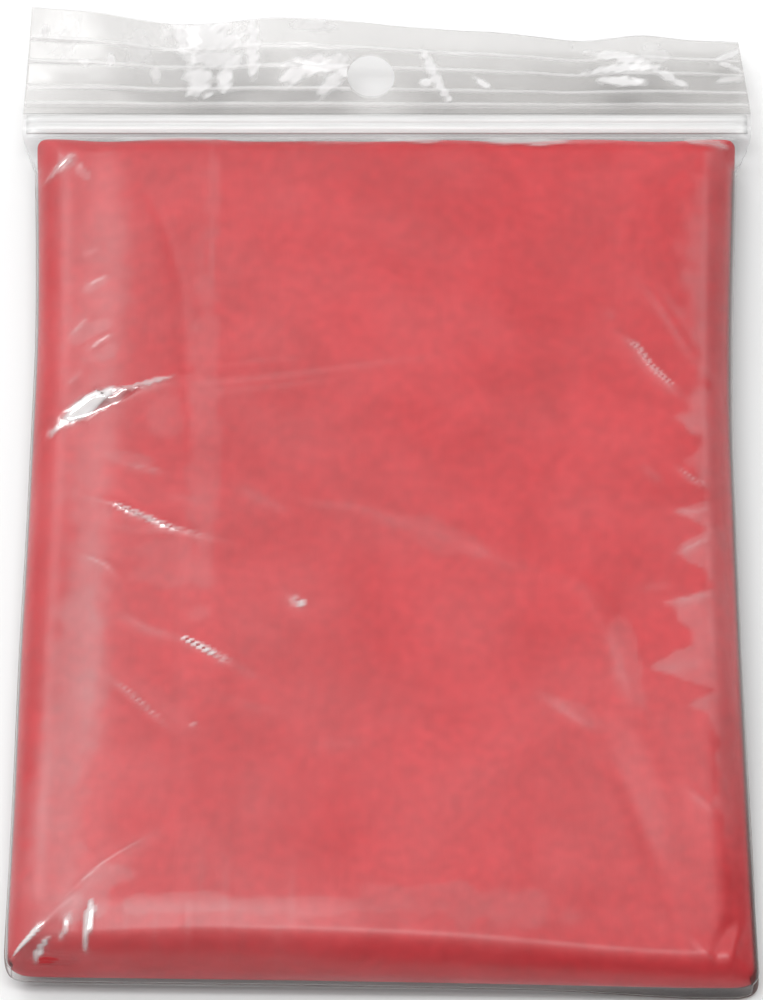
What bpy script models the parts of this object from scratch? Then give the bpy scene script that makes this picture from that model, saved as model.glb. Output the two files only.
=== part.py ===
"""A rain poncho folded into a flat packet, lying in its clear press-to-close bag.

The packet lies on its back: X runs across it, Y from its lower end to the bag's header, and Z up.
The hidden folds are one rounded solid with layered edges. The outermost ply is a wall that lies over
the top, turns round the lower end and comes back along the underside. The bag is a front film and a
back film that meet halfway up the sides, a zip of two tracks, and a header with a hang hole.

Every wall is the same pillow surface at another depth under the bag's outside, so the pieces follow
each other. The pillow is a flat slab whose sides are elliptic quarter turns, with squarish corners. The
stack of plies leans back at its lower end, and thins towards its lower right corner.
"""
import math

import bmesh
import bpy
import numpy as np

MM = 0.001  # all sizes below are in millimetres, and the meshes are in metres

# The bag, as it lies
BAG_LENGTH = 169.0
BAG_HALF_WIDTH = 59.1
HEADER_TOP_HALF_WIDTH = 57.8
BAG_HEIGHT = 13.2
FILM = 0.5
GAP = 0.3

# The poncho's plies
CLOTH = 1.0
CORE_HEADROOM = 0.9
LAYER_GROOVE = 0.6
LAYER_LEVELS = (0.80, 0.68, 0.56, 0.44, 0.32, 0.20, 0.08)
WRAP_SIDE_ANGLE = 60

# How the packet's sides turn from top to bottom: the run of each quarter turn in the plan
SIDE_RUN = 6.5
LOW_RUN = 4.5
HEAD_RUN = 6.5
CORNER_POWER = 4.0

# The lean of the stack at its lower end: how far the top stands back, more for the plies inside, the
# height where it starts, and the stretch of Y over which it comes in
LEAN = 1.2
LEAN_INSIDE = 0.35
LEAN_FROM_Z = 3.0
LEAN_START_Y = -60.0
LEAN_STRETCH = 15.0

# The lower end's line runs a little aslant: how far it stands in at the middle, and per mm across
INSET = 0.65
INSET_SLOPE = 0.0145

# The top sags towards the lower right corner
SAG = 5.0
SAG_START_X = -20.0
SAG_STRETCH_X = 86.0
SAG_START_Y = -30.0
SAG_STRETCH_Y = 50.0

# Places along Y
LOW_END_Y = -BAG_LENGTH / 2
HEAD_END_Y = 63.6
ZIP_LOW_Y = 64.2
ZIP_HIGH_Y = 67.6
HEADER_TOP_Y = BAG_LENGTH / 2
RELIEF_MARGIN = 0.3

# The zip and the header
ZIP_Z = 8.6
TRACK_THICKNESS = 0.45
TRACK_MARGIN_X = 1.0
TRACK_MARGIN_Y = 0.2
RIB_HEIGHT = 0.35
RIB_WIDTH = 1.2
RIB_OFFSETS = (2.0, 4.9, 8.9, 12.3)
HEADER_THICKNESS = 1.0
HEADER_BEND = 1.3
HOLE_RADIUS = 3.85
HOLE_OFFSET = 7.2
HOLE_X = -2.6

MID_Z = BAG_HEIGHT / 2
HALF_HEIGHT = BAG_HEIGHT / 2
SEAM_LOW_Z = FILM + GAP
SEAM_TUCKED_Z = 3.8
SEAM_FALL_X = 50.0
FLAP_LENGTH = 18.0
ZIP_HALF = TRACK_THICKNESS + GAP * 1.5

# How far under the bag's outside each surface lies
FILM_INSIDE = FILM
WRAP_OUTSIDE = FILM_INSIDE + GAP
WRAP_INSIDE = WRAP_OUTSIDE + CLOTH
CORE_OUTSIDE = WRAP_INSIDE + GAP

# Side lines of the packet in its bag: y, left x, right x. The sides draw in at the waist.
SIDE_LINES = (
    (-84.4, -58.0, 56.5),
    (-54.0, -57.4, 55.6),
    (-29.0, -57.1, 55.1),
    (-8.0, -56.6, 54.9),
    (10.0, -56.3, 54.8),
    (27.0, -56.1, 55.2),
    (45.0, -56.5, 56.0),
    (63.6, -57.2, 57.0),
)

# Height of the header's free edge: x, z. One corner curls up, and the edge waves along its length.
HEADER_EDGE = (
    (-59.0, 15.4),
    (-47.0, 13.6),
    (-36.0, 10.3),
    (-29.0, 10.4),
    (-18.0, 12.0),
    (-8.0, 11.4),
    (2.0, 9.5),
    (13.0, 8.2),
    (23.0, 6.6),
    (32.0, 4.9),
    (41.0, 6.7),
    (50.0, 5.4),
    (59.0, 4.5),
)

# Folds that run the packet's length, where a ply underneath ends: x, height of the step, its half width
PLY_STEPS = (
    (-30.0, 0.35, 1.5),
    (-24.5, -0.35, 1.5),
    (50.5, -0.45, 1.5),
)

# Largest creases of the top: from x, y to x, y, height (a ridge is positive) and half width
CREASES = (
    (-52.0, 8.0, -2.0, 18.5, 0.5, 4.0),
    (-48.0, -5.0, -26.0, -12.5, 0.4, 4.0),
    (-36.0, -28.0, -22.0, -35.0, 0.4, 4.0),
    (-45.0, -36.0, -31.0, -47.0, -0.4, 4.0),
    (-55.0, -79.0, -31.0, -59.0, 0.7, 5.0),
    (-16.0, -5.0, 20.0, -17.0, 0.35, 4.0),
    (31.0, -19.0, 37.0, -41.0, 0.4, 4.0),
    (33.0, -47.0, 43.0, -71.0, -0.6, 4.5),
    (53.0, 57.0, 36.0, 39.0, -0.6, 4.5),
    (36.0, 24.0, 48.0, 12.0, 0.5, 4.0),
    (40.0, -34.0, 50.0, -36.0, 0.5, 4.0),
)

FLAT_STEPS_ACROSS = (-1.0, -0.86, -0.72, -0.61, -0.5, -0.42, -0.22, 0.0, 0.22, 0.42, 0.6, 0.78, 0.92, 1.0)
FLAT_STEPS_ALONG = 9
FLAT_STEPS_UNDER = 4
SETTLE_STEPS = 7
TURN_STEP = 15
CORE_COLUMNS = 9
CORE_FIRST_TURN = 0.35
CORE_HEAD_ANGLES = (0, 15, 30, 45, 60, 90)
CORE_LOW_ANGLES = (90, 60, 30, 0)
WRAP_HEAD_ANGLES = (30, 60)
FILM_SIDE_ANGLES = (75, 60, 45, 30, 10, 0)
FILM_LOW_ANGLES = (75, 60, 45, 30, 15, 0)
HEADER_COLUMNS = 25
HOLE_SIDES = 32
SHARP_ANGLE = 40

# Rows of the films between the packet's head end and the zip, and of the front film's skirt, which
# hangs from the outline at mid height (0) to the seam (1) in front of the lower end
HEAD_ROWS_Y = (59.0, 60.4, 61.6, 62.6)
SKIRT_SHARES = (0.5, 1.0)

# The zip's front face: distance from its lower edge, height of the ridge
ZIP_RIDGES = (
    (0.0, 0.0),
    (0.9, 0.25),
    (1.7, 0.0),
    (2.5, 0.25),
    (3.4, 0.0),
)


def ease(share):
    """Soft start and stop: 0 up to 0, 1 from 1, level at both."""
    share = np.clip(share, 0.0, 1.0)
    return share * share * (3.0 - 2.0 * share)


def smooth_read(table, column, at):
    """Value of a table's column at any place of its first column, on a smooth cubic through the rows."""
    rows = np.array(table)
    places, values = rows[:, 0], rows[:, column]
    slopes = np.gradient(values, places)
    index = np.clip(np.searchsorted(places, at) - 1, 0, len(rows) - 2)
    span = places[index + 1] - places[index]
    share = np.clip((at - places[index]) / span, 0.0, 1.0)
    start, end = values[index], values[index + 1]
    leave, arrive = slopes[index] * span, slopes[index + 1] * span
    blend = ease(share)
    bow = share * (1.0 - share) * (leave * (1.0 - share) - arrive * share)
    return start + (end - start) * blend + bow


def side_x(y, sign):
    """The packet's side line, on the left (sign -1) or the right (sign 1)."""
    return smooth_read(SIDE_LINES, 1 if sign < 0 else 2, y)


def relief(x, y):
    """Height of the folds and creases over the flat top. It fades out before the packet's sides."""
    height = np.zeros(np.broadcast(x, y).shape)
    for step_x, rise, half_width in PLY_STEPS:
        height = height + rise * 0.5 * (1.0 + np.tanh((x - step_x) / half_width))
    for x0, y0, x1, y1, rise, half_width in CREASES:
        run_x, run_y = x1 - x0, y1 - y0
        length = math.hypot(run_x, run_y)
        along = ((x - x0) * run_x + (y - y0) * run_y) / length
        across = ((x - x0) * run_y - (y - y0) * run_x) / length
        beyond = np.maximum(0.0, np.abs(along - length / 2) - length / 2)
        height = height + rise * np.exp(-(across ** 2 + beyond ** 2) / half_width ** 2)
    from_side = np.minimum(x - side_x(y, -1), side_x(y, 1) - x) / SIDE_RUN
    from_end = np.minimum((y - LOW_END_Y) / (LOW_RUN + LEAN), (HEAD_END_Y - y) / HEAD_RUN)
    fade_x = np.clip(from_side - RELIEF_MARGIN, 0.0, 1.0)
    fade_y = np.clip(from_end - RELIEF_MARGIN, 0.0, 1.0)
    return height * fade_x * fade_y


def settle(grid, depth, folds=True):
    """The plain pillow's points, where they come to lie, at a depth under the bag's outside.

    The stack leans back at its lower end and sags towards its lower right corner. On top, the folds and
    creases are added.
    """
    x, y, z = grid[..., 0], grid[..., 1], grid[..., 2]
    low = ease((LEAN_START_Y - y) / LEAN_STRETCH)
    back = ease((z - LEAN_FROM_Z) / (BAG_HEIGHT - LEAN_FROM_Z)) * (LEAN + LEAN_INSIDE * depth)
    inset = np.maximum(0.0, INSET - INSET_SLOPE * x)
    sag = SAG * ease((x - SAG_START_X) / SAG_STRETCH_X) * ease((SAG_START_Y - y) / SAG_STRETCH_Y)
    new_y = y + low * (back + inset)
    new_z = z - sag * ease(z / BAG_HEIGHT)
    if folds:
        new_z = new_z + np.where(z > MID_Z, relief(x, new_y), 0.0)
    return np.stack([x, new_y, new_z], axis=-1)


def corner_share(across, along):
    """Length of a pair of turn shares by the rule of the plan's squarish corner, which is 1 on its outline."""
    return (np.abs(across) ** CORNER_POWER + np.abs(along) ** CORNER_POWER) ** (1.0 / CORNER_POWER)


def columns(flat_steps, side_turns):
    """Columns across the packet: pairs of flat place (-1 to 1) and share of a side's turn (-1 to 1)."""
    left = [(-1.0, -turn) for turn in reversed(side_turns)]
    right = [(1.0, turn) for turn in side_turns]
    return np.array(left + [(place, 0.0) for place in flat_steps] + right)


def pillow_row(cols, depth, y_flat=0.0, low=0.0, head=0.0, side=1):
    """One row of points over the plain pillow at a depth under the bag's outside.

    A row on the flat lies at y_flat. Past the flat, low or head says how far the row lies into that
    end's turn, from 0 to 1 on the packet's outline: one number, or one for each column. Where a side
    turns too, both shares are drawn in so that the row stays on the rounded corner. side is 1 on top
    and -1 underneath.
    """
    turn_x = cols[:, 1]
    turn_y = np.zeros(len(cols)) + low + head
    deepest = np.maximum(np.abs(turn_x), turn_y)
    draw_in = deepest / np.maximum(corner_share(turn_x, turn_y), 1e-9)
    run_y = (HEAD_RUN if np.any(head) else LOW_RUN) - depth
    if np.any(head):
        y = HEAD_END_Y - HEAD_RUN + turn_y * draw_in * run_y
    elif np.any(low):
        y = LOW_END_Y + LOW_RUN - turn_y * draw_in * run_y
    else:
        y = np.full(len(cols), float(y_flat))
        draw_in = np.ones(len(cols))
    left = side_x(y, -1) + SIDE_RUN
    right = side_x(y, 1) - SIDE_RUN
    x = (left + right) / 2 + cols[:, 0] * (right - left) / 2 + turn_x * draw_in * (SIDE_RUN - depth)
    z = MID_Z + side * (HALF_HEIGHT - depth) * np.sqrt(1.0 - np.minimum(deepest, 1.0) ** 2)
    return np.stack([x, y, z], axis=1)


def turns(*degrees):
    """Shares of an end's turn for angles up from the outline: 90 is the flat and 0 the outline."""
    return [math.cos(math.radians(angle)) for angle in degrees]


def flat_rows_y(count):
    """Places along Y of the rows on the flat, from the head to the lower end, without its two ends.

    There are count steps down to where the stack settles, and then the same steps in every piece.
    """
    even = np.linspace(HEAD_END_Y - HEAD_RUN, SAG_START_Y, count + 1)[1:]
    settling = np.linspace(SAG_START_Y, LOW_END_Y + LOW_RUN, SETTLE_STEPS + 1)[1:-1]
    return np.concatenate([even, settling])


def add_material(name, colour, roughness, alpha=1.0):
    material = bpy.data.materials.new(name)
    material.use_nodes = True
    shader = material.node_tree.nodes["Principled BSDF"]
    shader.inputs["Base Color"].default_value = (*colour, 1.0)
    shader.inputs["Roughness"].default_value = roughness
    shader.inputs["Metallic"].default_value = 0.0
    shader.inputs["Alpha"].default_value = alpha
    return material


def add_solid(name, points, faces, material):
    """A closed body from points in millimetres, its faces turned outwards."""
    mesh = bpy.data.meshes.new(name)
    body = bmesh.new()
    corners = [body.verts.new(tuple(point)) for point in np.asarray(points) * MM]
    for face in faces:
        body.faces.new([corners[index] for index in face])
    bmesh.ops.recalc_face_normals(body, faces=body.faces)
    if body.calc_volume(signed=True) < 0.0:
        bmesh.ops.reverse_faces(body, faces=body.faces)
    body.to_mesh(mesh)
    body.free()
    mesh.materials.append(material)
    mesh.shade_smooth()
    mesh.set_sharp_from_angle(angle=math.radians(SHARP_ANGLE))
    thing = bpy.data.objects.new(name, mesh)
    bpy.context.scene.collection.objects.link(thing)
    return thing


def sheet_faces(row_count, column_count, first):
    """Two triangles for each cell, cut the same way in every wall, so facing walls stay parallel."""
    faces = []
    for row in range(row_count - 1):
        for column in range(column_count - 1):
            a = first + row * column_count + column
            b, c, d = a + 1, a + column_count + 1, a + column_count
            faces += [(a, b, c), (a, c, d)]
    return faces


def border(row_count, column_count):
    """Indices round the edge of a grid, in order."""
    top = list(range(column_count - 1))
    right = [row * column_count + column_count - 1 for row in range(row_count - 1)]
    bottom = [(row_count - 1) * column_count + column for column in range(column_count - 1, 0, -1)]
    left = [row * column_count for row in range(row_count - 1, 0, -1)]
    return top + right + bottom + left


def add_wall(name, outside, inside, material):
    """A wall between two grids of the same size, closed round their edges."""
    row_count, column_count = outside.shape[:2]
    half = row_count * column_count
    points = np.concatenate([outside.reshape(-1, 3), inside.reshape(-1, 3)])
    faces = sheet_faces(row_count, column_count, 0)
    faces += [tuple(reversed(face)) for face in sheet_faces(row_count, column_count, half)]
    edge = border(row_count, column_count)
    for here, after in zip(edge, edge[1:] + edge[:1]):
        faces += [(here, here + half, after + half), (here, after + half, after)]
    return add_solid(name, points, faces, material)


def build_folded_layers(material):
    """The hidden plies: loops round the packet, one after another across it.

    Towards each side the loops shrink as the pillow does, and every other one is set in, so the side
    shows the edges of the stacked folds. The head end is grooved the same way.
    """
    depth = CORE_OUTSIDE
    ring_turns = [CORE_FIRST_TURN] + [math.sqrt(1.0 - level ** 2) for level in LAYER_LEVELS]
    ring_insets = [0.0] + [LAYER_GROOVE * (index % 2) for index in range(len(LAYER_LEVELS))]
    cols = columns(np.linspace(-1.0, 1.0, CORE_COLUMNS), ring_turns)
    shift = np.array(ring_insets[::-1] + [0.0] * CORE_COLUMNS + [-inset for inset in ring_insets])

    def row(set_in=0.0, **place):
        points = pillow_row(cols, depth, **place)
        points[:, 2] -= CORE_HEADROOM * np.maximum(0.0, points[:, 2] - MID_Z) / (HALF_HEIGHT - depth)
        points[:, 0] += shift
        points[:, 1] -= set_in
        return points

    head = turns(*CORE_HEAD_ANGLES)
    head_grooves = [LAYER_GROOVE * (index % 2) for index in range(len(head))]
    flat_y = flat_rows_y(FLAT_STEPS_UNDER)
    top = [row(set_in, head=share) for set_in, share in zip(head_grooves, head)]
    top += [row(y_flat=y) for y in flat_y]
    low = turns(*CORE_LOW_ANGLES)
    top += [row(low=share) for share in low]
    under = [row(low=share, side=-1) for share in low[-2::-1]]
    under += [row(y_flat=y, side=-1) for y in flat_y[::-1]]
    under += [row(set_in, head=share, side=-1) for set_in, share in zip(head_grooves[:0:-1], head[:0:-1])]
    loop = settle(np.array(top + under), depth, folds=False)
    loop_count, column_count = loop.shape[:2]
    faces = []
    for here in range(loop_count):
        after = (here + 1) % loop_count
        for column in range(column_count - 1):
            a = here * column_count + column
            b = after * column_count + column
            faces += [(a, a + 1, b + 1), (a, b + 1, b)]
    for column in (0, column_count - 1):
        for step in range(len(top) - 1):
            pairs = (step, step + 1, loop_count - step - 1, (loop_count - step) % loop_count)
            ring = list(dict.fromkeys(place * column_count + column for place in pairs))
            faces += [(ring[0], ring[index], ring[index + 1]) for index in range(1, len(ring) - 1)]
    return add_solid("folded_layers", loop.reshape(-1, 3), faces, material)


def build_outer_wrap(material):
    """The outermost ply: over the top from the head, round the lower end and back underneath."""
    cols = columns(FLAT_STEPS_ACROSS, turns(*range(90 - TURN_STEP, 90 - WRAP_SIDE_ANGLE - 1, -TURN_STEP)))
    round_end = turns(*range(90, -1, -TURN_STEP))

    def surface(depth):
        rows = [pillow_row(cols, depth, head=share) for share in turns(*WRAP_HEAD_ANGLES)]
        rows += [pillow_row(cols, depth, y_flat=y) for y in flat_rows_y(FLAT_STEPS_ALONG)]
        rows += [pillow_row(cols, depth, low=share) for share in round_end]
        rows += [pillow_row(cols, depth, low=share, side=-1) for share in round_end[-2::-1]]
        under_y = flat_rows_y(FLAT_STEPS_UNDER)[::-1]
        rows += [pillow_row(cols, depth, y_flat=y, side=-1) for y in under_y]
        return settle(np.array(rows), depth)

    return add_wall("outer_wrap", surface(WRAP_OUTSIDE), surface(WRAP_INSIDE), material)


def seam_z(x, y):
    """Height of the seam: halfway up the sides, up to the zip, and lower along the lower end.

    There it is tucked in on the left, and comes down to the surface towards the right as a flap, which
    also runs up the right side.
    """
    flap = ease(x / SEAM_FALL_X)
    foot = SEAM_TUCKED_Z + (SEAM_LOW_Z - SEAM_TUCKED_Z) * flap
    low = ease((y - LOW_END_Y) / (LOW_RUN + FLAP_LENGTH * flap))
    head = ease((y - (HEAD_END_Y - HEAD_RUN)) / (ZIP_LOW_Y - HEAD_END_Y + HEAD_RUN))
    return foot + (MID_Z - foot) * low + (ZIP_Z - MID_Z) * head


def bag_half_width(y):
    """Half width of the bag at the zip and the header, which narrows a little to its free edge."""
    share = np.clip((y - ZIP_HIGH_Y) / (HEADER_TOP_Y - ZIP_HIGH_Y), 0.0, 1.0)
    return BAG_HALF_WIDTH + (HEADER_TOP_HALF_WIDTH - BAG_HALF_WIDTH) * share


def side_at(y, sign):
    """The bag's side line: the packet's, easing out to the zip's wider line at the head."""
    share = ease((y - (HEAD_END_Y - HEAD_RUN)) / (ZIP_LOW_Y - HEAD_END_Y + HEAD_RUN))
    return side_x(y, sign) * (1.0 - share) + sign * bag_half_width(y) * share


def arch_row(cols, depth, y, crown_z, foot_z):
    """A row across the bag near its head: level in the middle, elliptic quarter turns to the seams."""
    turn_x = cols[:, 1]
    left = side_at(y, -1) + SIDE_RUN
    right = side_at(y, 1) - SIDE_RUN
    x = (left + right) / 2 + cols[:, 0] * (right - left) / 2 + turn_x * (SIDE_RUN - depth)
    z = foot_z + (crown_z - foot_z) * np.sqrt(np.maximum(0.0, 1.0 - turn_x ** 2))
    return np.stack([x, np.full(len(cols), float(y)), z], axis=1)


def head_turn_z(y, depth):
    """How far the pillow's middle stands off its mid height, in the turn of the head end."""
    share = min(max((y - (HEAD_END_Y - HEAD_RUN)) / (HEAD_RUN - depth), 0.0), 1.0)
    return (HALF_HEIGHT - depth) * math.sqrt(1.0 - share * share)


def film_columns():
    """Columns of a film: the flat, the sides' turns, and the seam as the last on each side."""
    return columns(FLAT_STEPS_ACROSS, turns(*FILM_SIDE_ANGLES))


def low_end_shares(cols, share, step, step_count):
    """Shares of a row in the lower end's turn, where the seam columns go round the corner evenly."""
    shares = np.full(len(cols), share)
    shares[[0, -1]] = step / step_count
    return shares


def build_bag_front(material):
    """The front film: from the zip over the packet and down in front of its lower end."""
    cols = film_columns()
    low_turn = turns(*FILM_LOW_ANGLES)
    step_count = len(low_turn) + len(SKIRT_SHARES)

    def surface(depth):
        lift = FILM - depth
        rows = []
        for offset, ridge in reversed(ZIP_RIDGES):
            z = ZIP_Z + ZIP_HALF + lift + (ridge if depth == 0.0 else 0.0)
            rows.append(arch_row(cols, depth, ZIP_LOW_Y + offset, z, z))
        for y in reversed(HEAD_ROWS_Y):
            crown = max(MID_Z + head_turn_z(y, depth), ZIP_Z + ZIP_HALF + lift)
            rows.append(arch_row(cols, depth, y, crown, seam_z(0.0, y) + GAP / 2))
        flat_y = [HEAD_END_Y - HEAD_RUN, *flat_rows_y(FLAT_STEPS_ALONG), LOW_END_Y + LOW_RUN]
        rows += [pillow_row(cols, depth, y_flat=y) for y in flat_y]
        for step, share in enumerate(low_turn):
            rows.append(pillow_row(cols, depth, low=low_end_shares(cols, share, step + 1, step_count)))
        for step, share in enumerate(SKIRT_SHARES):
            turn = low_end_shares(cols, 1.0, len(low_turn) + step + 1, step_count)
            row = pillow_row(cols, depth, low=turn)
            row[:, 2] += (seam_z(row[:, 0], row[:, 1]) - MID_Z) * share
            rows.append(row)
        grid = np.array(rows)
        packet = slice(len(ZIP_RIDGES) + len(HEAD_ROWS_Y), None)
        seam = seam_z(grid[packet, :, 0], grid[packet, :, 1])
        for column in (0, -1):
            grid[packet, column, 2] = seam[:, column]
        grid[-1, :, 2] = seam[-1]
        grid[packet, :, 2] = np.maximum(grid[packet, :, 2], seam + GAP / 2)
        return settle(grid, depth)

    return add_wall("bag_front", surface(0.0), surface(FILM_INSIDE), material)


def build_bag_back(material):
    """The back film: from the zip down behind the packet, flat under it, and up to the seams."""
    cols = film_columns()
    low_turn = turns(*FILM_LOW_ANGLES)

    def rounded_up(row, depth, turn_y):
        """Height from the flat underside up to the seam, over the same elliptic turns."""
        turn_x = np.abs(cols[:, 1])
        turn = np.maximum(turn_x, turn_y)
        outline = turn_y / np.maximum(corner_share(turn_x, turn_y), 1e-9)
        y_seam = np.where(turn_y > 0, LOW_END_Y + LOW_RUN - LOW_RUN * outline, row[:, 1])
        rim = seam_z(row[:, 0], y_seam) - GAP / 2
        row[:, 2] = depth + (rim - depth) * (1.0 - np.sqrt(np.maximum(0.0, 1.0 - turn ** 2)))
        return row

    def surface(depth):
        rows = []
        for y in (ZIP_HIGH_Y, ZIP_LOW_Y):
            z = ZIP_Z - ZIP_HALF - FILM + depth
            rows.append(arch_row(cols, depth, y, z, z))
        for y in reversed(HEAD_ROWS_Y + (HEAD_END_Y - FILM_INSIDE / 2,)):
            crown = MID_Z - head_turn_z(y, depth)
            rows.append(arch_row(cols, depth, y, crown, seam_z(0.0, y) - GAP / 2))
        no_turn = np.zeros(len(cols))
        for y in [HEAD_END_Y - HEAD_RUN, *flat_rows_y(FLAT_STEPS_UNDER), LOW_END_Y + LOW_RUN]:
            rows.append(rounded_up(pillow_row(cols, depth, y_flat=y, side=-1), depth, no_turn))
        for step, share in enumerate(low_turn):
            turn = low_end_shares(cols, share, step + 1, len(low_turn))
            rows.append(rounded_up(pillow_row(cols, depth, low=turn, side=-1), depth, turn))
        return settle(np.array(rows), depth)

    return add_wall("bag_back", surface(0.0), surface(FILM_INSIDE), material)


def build_zip_track(name, side, material):
    """One half of the closed zip, a flat bar between the films. side is 1 for the front half."""
    low_y, high_y = ZIP_LOW_Y + TRACK_MARGIN_Y, ZIP_HIGH_Y - TRACK_MARGIN_Y
    half_width = BAG_HALF_WIDTH - TRACK_MARGIN_X
    near_z = ZIP_Z + side * GAP / 2
    far_z = near_z + side * TRACK_THICKNESS
    corners = [(x, y, z) for z in (near_z, far_z) for y in (low_y, high_y) for x in (-half_width, half_width)]
    faces = [(0, 1, 3, 2), (4, 5, 7, 6), (0, 1, 5, 4), (2, 3, 7, 6), (0, 2, 6, 4), (1, 3, 7, 5)]
    return add_solid(name, corners, faces, material)


def header_z(x, y):
    """Mid height of the header: it leaves the zip level and bends to the wave of its free edge."""
    share = np.clip((y - ZIP_HIGH_Y - GAP) / (HEADER_TOP_Y - ZIP_HIGH_Y - GAP), 0.0, 1.0)
    edge = smooth_read(HEADER_EDGE, 1, x) - HEADER_THICKNESS / 2
    return ZIP_Z + (edge - ZIP_Z) * share ** HEADER_BEND


def build_bag_header(material):
    """The two films above the zip, lying together, with grip ribs on both faces and the hang hole."""
    start_y = ZIP_HIGH_Y + GAP
    stations = [(start_y, 0.0)]
    for offset in RIB_OFFSETS:
        middle = ZIP_HIGH_Y + offset
        stations += [(middle - RIB_WIDTH / 2, 0.0), (middle, RIB_HEIGHT), (middle + RIB_WIDTH / 2, 0.0)]
    stations.append((HEADER_TOP_Y, 0.0))
    places = np.linspace(-1.0, 1.0, HEADER_COLUMNS)

    def surface(side):
        rows = []
        for y, rib in stations:
            x = places * bag_half_width(y)
            z = header_z(x, np.full(len(x), y)) + side * (HEADER_THICKNESS / 2 + rib)
            rows.append(np.stack([x, np.full(len(x), y), z], axis=1))
        return np.array(rows)

    header = add_wall("bag_header", surface(1), surface(-1), material)
    bpy.ops.mesh.primitive_cylinder_add(vertices=HOLE_SIDES, radius=HOLE_RADIUS * MM, depth=BAG_HEIGHT * MM,
                                        location=(HOLE_X * MM, (ZIP_HIGH_Y + HOLE_OFFSET) * MM, ZIP_Z * MM))
    punch = bpy.context.object
    punch.name = "hang_hole_punch"
    punch.hide_render = True
    punch.display_type = "WIRE"
    cut = header.modifiers.new("hang_hole", "BOOLEAN")
    cut.operation = "DIFFERENCE"
    cut.solver = "EXACT"
    cut.object = punch
    return header


def clear_scene():
    for thing in list(bpy.data.objects):
        bpy.data.objects.remove(thing, do_unlink=True)


def main():
    clear_scene()
    red_film = add_material("red_polythene", (0.66, 0.09, 0.10), 0.55)
    clear_film = add_material("clear_polythene", (0.86, 0.87, 0.88), 0.15, 0.3)
    zip_plastic = add_material("zip_polythene", (0.88, 0.88, 0.87), 0.35, 0.7)
    build_folded_layers(red_film)
    build_outer_wrap(red_film)
    build_bag_front(clear_film)
    build_bag_back(clear_film)
    build_bag_header(clear_film)
    build_zip_track("zip_track_front", 1, zip_plastic)
    build_zip_track("zip_track_back", -1, zip_plastic)


main()
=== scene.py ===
"""Looks of a rain poncho folded into a flat packet in its clear press-to-close bag.

Each piece is a surface worked out with numpy on the packet's pillow form: a flat slab whose sides are
elliptic quarter turns. Creases, plies and ribs are moved out of that form along its normals.
"""
import math

import bpy
import numpy as np
from bpy.props import FloatProperty, FloatVectorProperty, PointerProperty
from mathutils import Matrix, Vector


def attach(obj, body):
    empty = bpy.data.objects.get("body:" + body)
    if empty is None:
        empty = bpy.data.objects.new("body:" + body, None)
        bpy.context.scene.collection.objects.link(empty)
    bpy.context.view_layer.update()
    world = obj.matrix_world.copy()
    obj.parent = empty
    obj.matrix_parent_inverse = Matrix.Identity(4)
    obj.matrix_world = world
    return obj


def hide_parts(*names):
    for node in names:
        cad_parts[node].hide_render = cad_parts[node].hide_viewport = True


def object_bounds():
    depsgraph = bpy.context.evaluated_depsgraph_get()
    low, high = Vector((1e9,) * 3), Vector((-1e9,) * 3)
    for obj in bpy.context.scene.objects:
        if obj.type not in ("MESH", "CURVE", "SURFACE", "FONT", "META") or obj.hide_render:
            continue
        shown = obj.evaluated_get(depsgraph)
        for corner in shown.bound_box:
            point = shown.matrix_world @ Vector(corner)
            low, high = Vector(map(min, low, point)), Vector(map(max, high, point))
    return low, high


bl_info = {
    "name": "Folded Rain Poncho",
    "version": (1, 0, 0),
    "blender": (4, 5, 0),
    "location": "3D View > Sidebar > Poncho",
    "description": "Builds a folded rain poncho in its clear press-to-close bag",
    "category": "Object",
}

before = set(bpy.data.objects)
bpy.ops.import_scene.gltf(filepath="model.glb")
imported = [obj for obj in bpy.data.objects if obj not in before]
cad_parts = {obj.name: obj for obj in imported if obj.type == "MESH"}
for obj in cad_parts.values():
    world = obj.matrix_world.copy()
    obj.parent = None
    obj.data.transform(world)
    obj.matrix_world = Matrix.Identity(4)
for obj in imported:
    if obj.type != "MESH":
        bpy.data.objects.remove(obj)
CAD_BOX = [list(corner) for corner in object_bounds()]
MM = 0.001
BODY = "root"
ROOM_LIGHT_FROM = (-0.35, 0.30, 0.9)

# How the lower end's line runs aslant: mm of Y for each mm of X
INSET_SLOPE = 0.0145
# Where the lean comes in from the left, and goes towards the right, in mm: X, stretch
LEAN_LEFT = (-58.0, 35.0)
LEAN_RIGHT = (5.0, 40.0)
# Where the fall of the lower edge fades towards the right, in mm: X, stretch, and the share that goes
BEVEL_FADE = (-40.0, 60.0, 0.85)
# Powers of the squarish ovals of the plan's corners: at the lower end, at the head
CORNER_POWERS = (4.0, 14.0)
# Y of the places that the ply steps are given for, in mm
STEP_PLACES = (-84.0, -2.0, 60.0)
# Small waves of a surface, in mm: rise, squash of Y, wavelength, seed
CLOTH_WAVES = ((0.06, 0.6, 26.0, 11), (0.010, 1.0, 7.0, 12))
FILM_WAVES = ((0.03, 0.7, 16.0, 21), (0.004, 1.0, 4.0, 22))
# Deepest that the film's own relief goes, in mm, so that it stays off the cloth
FILM_DEEPEST = -0.16
# Crease along the right line, in mm: rise, half width
LINE_CREASE = (0.25, 0.5)
# Rise of a crease where its gloss starts, in mm, and the stretch over which it becomes full
CREASE_GLOSS = (0.16, 0.2)
# Turn of the side where the welded seam, with painted shade on the packet's sides, starts to show, in
# degrees: on the left, on the right; sooner on the right, the side in shade
SEAL_AND_SHADE_ANGLES = (70.0, 56.0)
# Share of the light scattered by film that stands off, and by the films of the zip, the back and the header.
# On the front film the share also carries painted light: a lighter left, and painted reflections, glints and
# highlights.
HAZE_AND_PAINTED_LIGHT_MOST = 0.055
ZIP_HAZE = 0.06
BACK_HAZE = 0.03
HEADER_HAZE = 0.035
# Width of the soft edge of a patch or facet, and of a glare, as a share of its radius
SOFT_EDGE = 0.45
GLARE_EDGE = 0.9

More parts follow.
